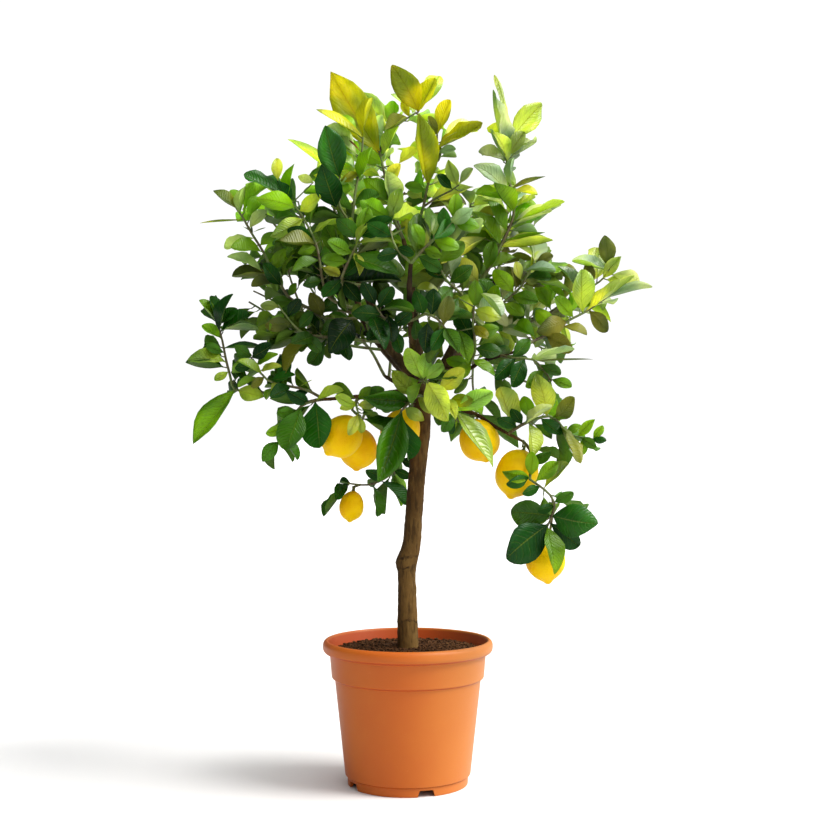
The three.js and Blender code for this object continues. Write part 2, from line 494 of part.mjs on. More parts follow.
/**
 * A closed skin over rings of points, from the first ring to the last.
 * With a tip it ends in that one point, and otherwise in a flat cap.
 */
function loft(rings, tip = null) {
  const sides = rings[0].length;
  const steps = tip ? rings.length : rings.length - 1;
  const geometry = bare(new THREE.CylinderGeometry(tip ? 0 : 1, 1, steps, sides, steps));
  const position = geometry.getAttribute("position");
  const centre = (ring) => ring.reduce((sum, p) => sum.add(p), new THREE.Vector3()).divideScalar(ring.length);
  for (let i = 0; i < position.count; i += 1) {
    const level = Math.round(position.getY(i) + steps / 2);
    const radius = Math.hypot(position.getX(i), position.getZ(i));
    const turn = Math.atan2(position.getX(i), position.getZ(i)) / (2 * Math.PI);
    const side = (Math.round(turn * sides) + sides) % sides;
    let place = tip;
    if (level < rings.length) {
      place = radius < 1e-6 ? centre(rings[level]) : rings[level][side];
    }
    position.setXYZ(i, place.x, place.y, place.z);
  }
  return geometry;
}

/** Rings of the given radii square to a path, turned as little as the path allows. */
function pathRings(path, radii, sides) {
  const rings = [];
  let side = new THREE.Vector3(1, 0, 0);
  for (let i = 0; i < path.length; i += 1) {
    const before = path[Math.max(i - 1, 0)];
    const after = path[Math.min(i + 1, path.length - 1)];
    const along = after.clone().sub(before).normalize();
    side = side.clone().addScaledVector(along, -side.dot(along));
    if (side.lengthSq() < 0.01) {
      side = new THREE.Vector3(0, 1, 0).addScaledVector(along, -along.y);
    }
    side.normalize();
    const over = along.clone().cross(side);
    const ring = [];
    for (let k = 0; k < sides; k += 1) {
      const angle = (2 * Math.PI * k) / sides;
      ring.push(path[i].clone()
        .addScaledVector(side, radii[i] * Math.cos(angle))
        .addScaledVector(over, radii[i] * Math.sin(angle)));
    }
    rings.push(ring);
  }
  return rings;
}

function tube(path, radii, sides) {
  return solid(loft(pathRings(path, radii, sides)));
}

function tapered(count, first, last) {
  return Array.from({ length: count }, (_, i) => mix(first, last, i / (count - 1)));
}

// ---------------------------------------------------------------- pot and soil

function innerRadius(height) {
  const t = (height - POT.footHeight) / (POT.collarBottom - POT.footHeight);
  return mix(POT.bodyBottom, POT.bodyTop, t) - POT.wall;
}

function potSolid() {
  const { rimRadius, rimInner, rimBottom, height, wall } = POT;
  const profile = [
    [0, POT.floorBottom], [POT.footRadius - 2 * POT.footRing, POT.floorBottom],
    [POT.footRadius - POT.footRing, 0], [POT.footRadius, 0],
    [POT.footRadius + 0.6, POT.footHeight - 1], [POT.bodyBottom, POT.footHeight],
    [POT.bodyTop, POT.collarBottom - 2.5], [POT.collarRadius - 2.6, POT.collarBottom],
    [POT.collarRadius, rimBottom - 1], [rimRadius - 2, rimBottom], [rimRadius, rimBottom + 5],
    [rimRadius, height - 5], [rimRadius - 3, height], [rimInner + 1, height],
    [POT.collarRadius - wall, rimBottom - 3], [innerRadius(POT.collarBottom), POT.collarBottom - 3],
    [POT.bodyBottom - wall - 2, POT.floorBottom + wall], [0, POT.floorBottom + wall],
  ];
  const shell = new THREE.LatheGeometry(profile.map(([r, z]) => new THREE.Vector2(r, z)), POT.sides);
  shell.rotateX(Math.PI / 2);
  let pot = solid(shell);
  for (const angle of NOTCH.angles) {
    pot = pot.subtract(solid(notch(angle)));
  }
  for (let i = 0; i < DRAIN_HOLE.count; i += 1) {
    const { radius, depth, sides } = DRAIN_HOLE;
    const hole = new THREE.CylinderGeometry(radius, radius, depth, sides);
    hole.rotateX(Math.PI / 2);
    hole.translate(DRAIN_HOLE.ring, 0, POT.floorBottom);
    hole.rotateZ((2 * Math.PI * i) / DRAIN_HOLE.count);
    pot = pot.subtract(solid(hole));
  }
  return pot;
}

/** The wedge that a drain notch takes out of the foot, wider at the ground. */
function notch(angle) {
  const outline = new THREE.Shape([
    new THREE.Vector2(-NOTCH.bottom / 2, -NOTCH.below), new THREE.Vector2(NOTCH.bottom / 2, -NOTCH.below),
    new THREE.Vector2(NOTCH.top / 2, NOTCH.height), new THREE.Vector2(-NOTCH.top / 2, NOTCH.height),
  ]);
  const wedge = new THREE.ExtrudeGeometry(outline, { depth: NOTCH.depth, bevelEnabled: false, steps: 1 });
  wedge.rotateX(Math.PI / 2);
  wedge.translate(0, -POT.footRadius + 3 * POT.footRing, 0);
  wedge.rotateZ(THREE.MathUtils.degToRad(angle + 90));
  return wedge;
}

function soilSolid() {
  const { clearance, edgeHeight, crownHeight } = SOIL;
  const bottom = POT.floorBottom + POT.wall + clearance;
  const profile = [
    [0, bottom], [POT.bodyBottom - POT.wall - 2.2 - clearance, bottom],
    [innerRadius(POT.collarBottom) - clearance, POT.collarBottom - 3],
    [POT.collarRadius - POT.wall - clearance, POT.rimBottom - 3],
    [POT.collarRadius - POT.wall, edgeHeight - 1.5], [POT.collarRadius - POT.wall - 3, edgeHeight],
    [0, crownHeight],
  ];
  const bed = new THREE.LatheGeometry(profile.map(([r, z]) => new THREE.Vector2(r, z)), POT.sides);
  bed.rotateX(Math.PI / 2);
  const hole = TRUNK.slice(0, 3);
  const path = hole.map(([height, across, depth]) => new THREE.Vector3(across, depth, height));
  path[0].z -= GAP;
  return solid(bed).subtract(tube(path, hole.map((row) => row[3] + GAP), WOOD_SIDES));
}

// ---------------------------------------------------------------- wood

const TRUNK_PATH = TRUNK.map(([height, across, depth]) => seen([across, height, depth]));
const TRUNK_RADII = TRUNK.map((row) => row[3]);
const LIMB_LIST = Object.values(LIMBS).map(([first, last, points]) => {
  const path = points.map(seen);
  return { path, radii: tapered(path.length, first, last) };
});

/** The trunk with its limbs, made thicker by the given amount. */
function woodSolid(extra) {
  const parts = [tube(TRUNK_PATH, TRUNK_RADII.map((r) => r + extra), WOOD_SIDES)];
  for (const limb of LIMB_LIST) {
    parts.push(tube(limb.path, limb.radii.map((r) => r + extra), LIMB_SIDES));
  }
  return joined(parts);
}

/** A twig's path, begun on the middle line of the wood that carries it. */
function rooted(path, carriers) {
  const places = carriers.map((carrier) => nearestOnPath(path[0], carrier));
  places.sort((a, b) => a.distanceTo(path[0]) - b.distanceTo(path[0]));
  return [places[0], ...path.slice(1)];
}

function growTwigs([, rows], shoot) {
  const twigs = [];
  for (const [radius, fill, points] of rows) {
    const carriers = twigs.length ? twigs.map((twig) => twig.path) : LIMB_LIST.map((limb) => limb.path);
    const path = rooted(points.map(seen), carriers);
    twigs.push({ points, path, radii: tapered(path.length, radius, radius * TWIG_TAPER), fill, shoot });
  }
  return twigs;
}

// ---------------------------------------------------------------- leaves

/** Half the blade's width at a share t of its length, for a blade one unit wide. */
function bladeShape(t) {
  return t <= 0 || t >= 1 ? 0 : 0.5 * Math.sin(Math.PI * t ** 0.85) ** 0.8;
}

/** How high the blade's face stands over its straight chord at share t and y across. */
function bladeHeight(leaf, t, y) {
  const half = leaf.width * bladeShape(t);
  return 4 * LEAF.camber * leaf.length * t * (1 - t) + LEAF.fold * (Math.abs(y) - half / 2);
}

function leafPoint(leaf, t, y, lift = 0) {
  return leaf.base.clone()
    .addScaledVector(leaf.along, t * leaf.length)
    .addScaledVector(leaf.across, y)
    .addScaledVector(leaf.normal, bladeHeight(leaf, t, y) + lift);
}

/** A leaf between two places, turned so that its face has the given normal. */
function makeLeaf(shoot, root, base, tip, width, facing) {
  const along = tip.clone().sub(base);
  const length = along.length();
  along.divideScalar(length);
  const normal = facing.clone().addScaledVector(along, -facing.dot(along)).normalize();
  const across = normal.clone().cross(along);
  const leaf = { shoot, root, base, along, normal, across, length, width };
  leaf.points = samplePoints(leaf);
  return leaf;
}

function samplePoints(leaf) {
  const rows = Math.ceil(leaf.length / LEAF.rowStep);
  const columns = 2 * Math.ceil(leaf.width / LEAF.columnStep);
  const points = [];
  for (let i = 1; i <= rows; i += 1) {
    const t = (i - 0.25) / rows;
    for (let k = 0; k <= columns; k += 1) {
      points.push(leafPoint(leaf, t, leaf.width * bladeShape(t) * ((2 * k) / columns - 1)));
    }
  }
  const stalk = leaf.base.distanceTo(leaf.root);
  for (let d = LEAF.stalkFrom; d < stalk; d += LEAF.stalkFrom) {
    points.push(leaf.root.clone().lerp(leaf.base, d / stalk));
  }
  return points;
}

function touchesBlade(point, leaf, clearance) {
  const offset = point.clone().sub(leaf.base);
  const x = offset.dot(leaf.along);
  if (x < -clearance || x > leaf.length + clearance) {
    return false;
  }
  const t = THREE.MathUtils.clamp(x / leaf.length, 0.02, 0.98);
  const y = offset.dot(leaf.across);
  if (Math.abs(y) > leaf.width * bladeShape(t) + clearance) {
    return false;
  }
  return Math.abs(offset.dot(leaf.normal) - bladeHeight(leaf, t, y)) < clearance;
}

function insideLemon(point, lemon) {
  const offset = point.clone().sub(lemon.centre);
  const x = offset.dot(lemon.nose);
  const square = offset.lengthSq() - x * x;
  return (x / (lemon.half + FRUIT.noseRoom)) ** 2 + square / (lemon.radius + FRUIT.sideRoom) ** 2 < 1;
}

/** Whether one leaf's points come too near another's blade. Leaves of one shoot may meet at their stems. */
function bladesTouch(leaf, other) {
  const related = leaf.shoot === other.shoot;
  const clearance = related ? LEAF.ownClearance : LEAF.clearance;
  const meeting = related ? LEAF.rootFree + LEAF.meetSpread * (leaf.width + other.width) : 0;
  return leaf.points.some((p) => p.distanceTo(other.base) > meeting && touchesBlade(p, other, clearance));
}

/** Whether a leaf would cut wood, a fruit or a leaf that is already there. */
function isFree(leaf, crown) {
  const middle = leafPoint(leaf, 0.5, 0);
  const reach = leaf.length / 2 + LEAF.nearby;
  const rootFree = LEAF.rootFree + LEAF.rootSpread * leaf.width;
  for (const knot of crown.knots) {
    const far = knot.place.distanceTo(middle) > reach + knot.radius;
    const own = knot.shoot === leaf.shoot && knot.place.distanceTo(leaf.root) < rootFree;
    if (!far && !own && touchesBlade(knot.place, leaf, knot.radius + LEAF.woodClearance)) {
      return false;
    }
  }
  for (const lemon of crown.lemons) {
    const near = lemon.centre.distanceTo(middle) < reach + lemon.half;
    if (near && leaf.points.some((p) => insideLemon(p, lemon))) {
      return false;
    }
  }
  for (const other of crown.leaves) {
    if (leafPoint(other, 0.5, 0).distanceTo(middle) > reach + other.length / 2) {
      continue;
    }
    if (bladesTouch(leaf, other) || bladesTouch(other, leaf)) {
      return false;
    }
  }
  return true;
}

/** The place on a shoot's twigs that looks nearest to where a leaf is drawn. */
function drawnRoot(twigs, across, height) {
  const target = new THREE.Vector2(across, height);
  let best = null;
  for (const twig of twigs) {
    for (let i = 0; i + 1 < twig.points.length; i += 1) {
      const [a, b] = [twig.points[i], twig.points[i + 1]];
      const run = new THREE.Vector2(b[0] - a[0], b[1] - a[1]);
      const offset = target.clone().sub(new THREE.Vector2(a[0], a[1]));
      const t = THREE.MathUtils.clamp(offset.dot(run) / run.lengthSq(), LEAF.jointInset, 1 - LEAF.jointInset);
      const gap = offset.addScaledVector(run, -t).length();
      if (!best || gap < best.gap - 1e-9) {
        best = { gap, depth: mix(a[2], b[2], t), place: twig.path[i].clone().lerp(twig.path[i + 1], t) };
      }
    }
  }
  return best;
}

/** A leaf as it is drawn, leaning towards or away from the viewer until it is free. */
function drawnLeaf([across, height, tipAcross, tipHeight, seenWidth], shoot, twigs, crown) {
  const root = drawnRoot(twigs, across, height);
  const base = root.gap < LEAF.stalkFrom ? root.place : seen([across, height, root.depth]);
  const run = Math.hypot(tipAcross - across, tipHeight - height);
  for (const roll of ROLLS) {
    for (const lean of LEANS) {
      const tip = seen([tipAcross, tipHeight, root.depth + lean * run]);
      const width = naturalWidth(seenWidth, base.distanceTo(tip));
      const leaf = makeLeaf(shoot, root.place, base, tip, width, facingFor(base, tip, seenWidth, roll));
      if (isFree(leaf, crown)) {
        return leaf;
      }
    }
  }
  return null;
}

function naturalWidth(seenWidth, length) {
  return Math.max(seenWidth, Math.min(LEAF.slenderness * length, LEAF.widest));
}

/** The way a face looks when a leaf of natural width shows only the width that is seen. */
function facingFor(base, tip, seenWidth, roll) {
  const along = tip.clone().sub(base);
  const natural = naturalWidth(seenWidth, along.length());
  along.normalize();
  const viewer = new THREE.Vector3(0, -1, 0).addScaledVector(along, along.y).normalize();
  const edge = along.clone().cross(viewer);
  if (edge.z < 0) {
    edge.negate();
  }
  const turn = Math.acos(Math.min(seenWidth / natural, 1)) + roll;
  return viewer.multiplyScalar(Math.cos(turn)).addScaledVector(edge, Math.sin(turn));
}

/** The leaves that fill a twig in a spiral, each turned on until it is free. */
function fillTwig(twig, shoot, drawn, crown, dice) {
  const leaves = [];
  for (let i = 0; i < twig.fill; i += 1) {
    const share = mix(FILL.firstShare, FILL.lastShare, (i + 1) / twig.fill) * (twig.path.length - 1);
    const step = Math.min(Math.floor(share), twig.path.length - 2);
    const root = twig.path[step].clone().lerp(twig.path[step + 1], share - step);
    const stem = twig.path[step + 1].clone().sub(twig.path[step]).normalize();
    const size = mix(FILL.shortest, FILL.longest, dice.next());
    const start = 2 * Math.PI * dice.next();
    for (let attempt = 0; attempt < FILL.tries; attempt += 1) {
      const angle = start + FILL.turn * (i + attempt);
      const leaf = fillLeaf(shoot, root, stem, angle, size * FILL.shrink ** attempt, drawn);
      if (isFree(leaf, crown)) {
        crown.leaves.push(leaf);
        leaves.push(leaf);
        break;
      }
    }
  }
  return leaves;
}

function fillLeaf(shoot, root, stem, angle, size, drawn) {
  const side = new THREE.Vector3(-stem.y, stem.x, 0);
  side.normalize();
  const over = stem.clone().cross(side);
  const out = side.multiplyScalar(Math.cos(angle)).addScaledVector(over, Math.sin(angle));
  const along = stem.clone().multiplyScalar(Math.cos(FILL.pitch)).addScaledVector(out, Math.sin(FILL.pitch));
  along.z -= FILL.droop;
  if (drawn && along.y < 0) {
    along.y = -along.y;
  }
  along.normalize();
  const base = root.clone().addScaledVector(along, FILL.petiole);
  const tip = base.clone().addScaledVector(along, size);
  const away = new THREE.Vector3(base.x, base.y, 0).normalize();
  const facing = new THREE.Vector3(0, 0, 1).addScaledVector(away, 0.6);
  return makeLeaf(shoot, root, base, tip, size * LEAF.slenderness, facing);
}

/** A thin blade with a keel along its middle, which starts as a stem inside its twig. */
function leafSolid(leaf) {
  const corner = (centre, side, lift) => centre.clone()
    .addScaledVector(leaf.across, side * LEAF.stemRadius)
    .addScaledVector(leaf.normal, lift * LEAF.stemRadius);
  const stem = (centre) => [corner(centre, 0, -1), corner(centre, 1, 0.5), corner(centre, -1, 0.5)];
  const station = (t) => {
    const half = leaf.width * bladeShape(t);
    return [leafPoint(leaf, t, 0, -LEAF.thickness), leafPoint(leaf, t, half), leafPoint(leaf, t, -half)];
  };
  const rings = [stem(leaf.root)];
  if (leaf.base.distanceTo(leaf.root) > LEAF.longStalk) {
    rings.push(stem(leaf.base));
  }
  for (const t of leaf.length > LEAF.twoStationLength ? [0.34, 0.7] : [0.46]) {
    rings.push(station(t));
  }
  return solid(loft(rings, leafPoint(leaf, 1, 0)));
}

// ---------------------------------------------------------------- lemons

function lemonShape([across, height, depth, radius, half, nose]) {
  return {
    centre: seen([across, height, depth]), radius, half, nose: new THREE.Vector3(...nose).normalize(),
  };
}

/** The fruit with its nose, its button and the stalk that it hangs by. */
function lemonSolid(row, lemon, carriers) {
  const { centre, radius, half, nose } = lemon;
  const profile = [
    [0, -half], [radius * 0.5, -half * 0.82], [radius * 0.92, -half * 0.4], [radius, half * 0.08],
    [radius * 0.76, half * 0.54], [radius * 0.3, half * 0.84], [0, half],
  ];
  const fruit = new THREE.LatheGeometry(profile.map(([r, z]) => new THREE.Vector2(r, z)), FRUIT.sides);
  const turn = new THREE.Quaternion().setFromUnitVectors(new THREE.Vector3(0, 1, 0), nose);
  fruit.applyQuaternion(turn);
  fruit.translate(centre.x, centre.y, centre.z);
  const button = centre.clone().addScaledVector(nose, -half + 3);
  const neck = centre.clone().addScaledVector(nose, -half - 5);
  const path = [button, neck, ...row[6].map(seen)];
  path[path.length - 1] = rooted([path[path.length - 1]], carriers)[0];
  return solid(fruit).add(
    tube(path, tapered(path.length, FRUIT.stalkRadius, FRUIT.stalkTip), FRUIT.stalkSides),
  );
}

// ---------------------------------------------------------------- the whole tree

/** Points along every piece of wood, for leaves to keep clear of. */
function woodKnots(paths) {
  const knots = [];
  for (const { path, radii, shoot = -1 } of paths) {
    for (let i = 0; i + 1 < path.length; i += 1) {
      const steps = Math.ceil(path[i].distanceTo(path[i + 1]) / KNOT_STEP);
      for (let k = 0; k <= steps; k += 1) {
        const t = k / steps;
        const place = path[i].clone().lerp(path[i + 1], t);
        knots.push({ place, radius: mix(radii[i], radii[i + 1], t), shoot });
      }
    }
  }
  return knots;
}

function meanTone(leaves) {
  const tone = new THREE.Color(0, 0, 0);
  for (const leaf of leaves) {
    tone.add(new THREE.Color(LEAF_TONES[leaf[5]]));
  }
  return leaves.length ? tone.multiplyScalar(1 / leaves.length) : new THREE.Color(LEAF_TONES[2]);
}

const tree = new THREE.Group();
tree.name = "potted_lemon_tree";

function addMesh(name, manifold, color, roughness) {
  const material = new THREE.MeshStandardMaterial({ color, roughness, metalness: 0 });
  const mesh = new THREE.Mesh(geometryOf(manifold), material);
  mesh.name = name;
  tree.add(mesh);
}

const lemons = Object.values(LEMONS).map(lemonShape);
const shootTwigs = SHOOTS.map(growTwigs);
const lemonStalks = Object.values(LEMONS).map((row) => {
  const path = row[6].map(seen);
  return { path, radii: path.map(() => 2) };
});
const crown = {
  leaves: [],
  lemons,
  knots: woodKnots([
    { path: TRUNK_PATH, radii: TRUNK_RADII }, ...LIMB_LIST, ...shootTwigs.flat(), ...lemonStalks,
  ]),
};

const shootLeaves = SHOOTS.map(([, , drawn], i) => {
  const leaves = [];
  for (const row of drawn) {
    const leaf = drawnLeaf(row, i, shootTwigs[i], crown);
    if (leaf) {
      crown.leaves.push(leaf);
      leaves.push(leaf);
    }
  }
  return leaves;
});
const dice = new Dice(DICE_SEED);
SHOOTS.forEach(([, , drawn], i) => {
  for (const twig of shootTwigs[i]) {
    shootLeaves[i].push(...fillTwig(twig, i, drawn.length > 0, crown, dice));
  }
});

addMesh("pot", potSolid(), COLORS.pot, 0.5);
addMesh("soil", soilSolid(), COLORS.soil, 0.95);
addMesh("trunk", woodSolid(0), COLORS.bark, 0.85);

const thickWood = woodSolid(GAP);
SHOOTS.forEach(([name, , drawn], i) => {
  const twigs = shootTwigs[i].map((twig) => tube(twig.path, twig.radii, TWIG_SIDES));
  const leaves = shootLeaves[i].map(leafSolid);
  addMesh(name, joined([...twigs, ...leaves]).subtract(thickWood), meanTone(drawn), 0.5);
});

Object.entries(LEMONS).forEach(([name, row], i) => {
  const carriers = [...LIMB_LIST, ...shootTwigs.flat()];
  const thickTwigs = carriers.slice(LIMB_LIST.length)
    .map(({ path, radii }) => tube(path, radii.map((r) => r + GAP * 1.5), TWIG_SIDES));
  const fruit = lemonSolid(row, lemons[i], carriers.map(({ path }) => path));
  addMesh(name, fruit.subtract(thickWood).subtract(joined(thickTwigs)), COLORS.peel, 0.45);
});

// The tree stands with the middle of its outline on the origin.
const outline = new THREE.Box3().setFromObject(tree);
tree.position.set(-(outline.min.x + outline.max.x) / 2, -(outline.min.y + outline.max.y) / 2, 0);

export default tree;
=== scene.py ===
"""A lemon tree grown as a small standard in a round plastic nursery pot.

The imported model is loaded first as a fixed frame. Sizes are in millimetres from the middle of the
pot, with the front of the tree towards -Y. to_row() turns them into the frame's own metres.
Places in the crown are written as they look from the front, as [across, height, depth].
"""

import logging
import math
import random
from collections.abc import Callable, Iterator
from contextlib import contextmanager
from dataclasses import dataclass
from enum import Enum

import bmesh
import bpy
import numpy as np
from mathutils import Matrix, Vector


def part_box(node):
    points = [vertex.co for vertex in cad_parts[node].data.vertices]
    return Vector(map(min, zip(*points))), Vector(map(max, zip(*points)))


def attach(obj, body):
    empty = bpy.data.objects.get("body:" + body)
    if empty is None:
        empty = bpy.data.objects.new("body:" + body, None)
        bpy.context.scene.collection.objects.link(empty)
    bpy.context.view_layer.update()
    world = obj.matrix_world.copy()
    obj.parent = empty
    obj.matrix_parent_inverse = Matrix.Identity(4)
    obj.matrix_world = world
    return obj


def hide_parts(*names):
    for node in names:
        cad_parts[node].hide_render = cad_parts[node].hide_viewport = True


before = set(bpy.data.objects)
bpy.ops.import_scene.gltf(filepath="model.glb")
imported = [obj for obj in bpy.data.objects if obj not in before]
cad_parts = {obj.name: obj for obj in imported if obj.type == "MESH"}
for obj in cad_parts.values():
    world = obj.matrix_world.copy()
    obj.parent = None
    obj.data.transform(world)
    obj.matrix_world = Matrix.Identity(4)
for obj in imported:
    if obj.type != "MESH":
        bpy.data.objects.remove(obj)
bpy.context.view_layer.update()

log = logging.getLogger("lemon_tree")

MM = 0.001
POINT = 0.05
POT_LOW, POT_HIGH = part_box("pot")
AXIS = (np.array(POT_LOW) + np.array(POT_HIGH)) / 2 * np.array([1, 1, 0])

EYE_ACROSS = 15.7
EYE_HEIGHT = 469
EYE_DISTANCE = 1860
LENS = 61.59

# ---------------------------------------------------------------- the tree, as it looks from the front

# [height, across, depth, radius]
TRUNK = [
  [118, 0, 0, 13.4], [176, 0, 0, 13], [262, -1.2, 0, 10.9], [276, -1.6, 0, 11.8], [285, -2, 0, 13],
  [306, 4.4, 0, 11.3], [350, 8, 0, 10.5], [404, 12.4, 0, 10.5], [455, 17.5, 0, 11], [500, 18, 0, 10.6],
  [514, 17, 0, 8.6],
]

# name: [radius at the fork, radius at the end, [[across, height, depth], ...]]
LIMBS = {
  "left": [8.4, 3.4, [[17, 492, 0], [8, 522, -8], [-10, 545, -16], [-25, 565, -22], [-36, 592, -28],
    [-50, 624, -36], [-67, 656, -44], [-85, 690, -50], [-101, 716, -50]]],
  "centre": [8, 3.2, [[18, 495, 2], [17, 530, 6], [13, 560, 10], [10, 590, 14], [6, 630, 16], [1, 672, 14],
    [-6, 704, 8]]],
  "right": [8, 3.8, [[20, 490, 0], [34, 518, -10], [52, 550, -22], [66, 582, -32], [76, 612, -38],
    [84, 637, -40]]],
  "back_left": [7.4, 3, [[16, 500, 4], [-4, 530, 44], [-32, 562, 84], [-58, 600, 112], [-72, 650, 130],
    [-80, 690, 138]]],
  "back_right": [7.4, 3, [[20, 498, 5], [42, 528, 44], [70, 560, 84], [96, 600, 112], [112, 650, 128]]],
  "front": [6.6, 2.8, [[18, 496, -3], [15, 522, -42], [8, 554, -88], [4, 596, -126], [2, 640, -150],
    [4, 672, -160]]],
  "right_arm": [4.2, 2.5, [[45, 538, -18], [75, 534, -46], [95, 545, -56], [118, 552, -62], [140, 558, -64],
    [160, 570, -64]]],
  "left_arm": [5, 2.7, [[12, 510, -6], [-20, 505, -40], [-66, 499, -66], [-115, 495, -76], [-143, 490, -76]]],
  "low_right": [4.8, 2.7, [[19, 487, -3], [52, 486, -34], [88, 476, -58], [110, 462, -68], [132, 450, -72],
    [150, 441, -72]]],
  "low_back": [4.8, 2.7, [[17, 496, 5], [8, 506, 52], [-10, 514, 104], [-30, 526, 150]]],
}

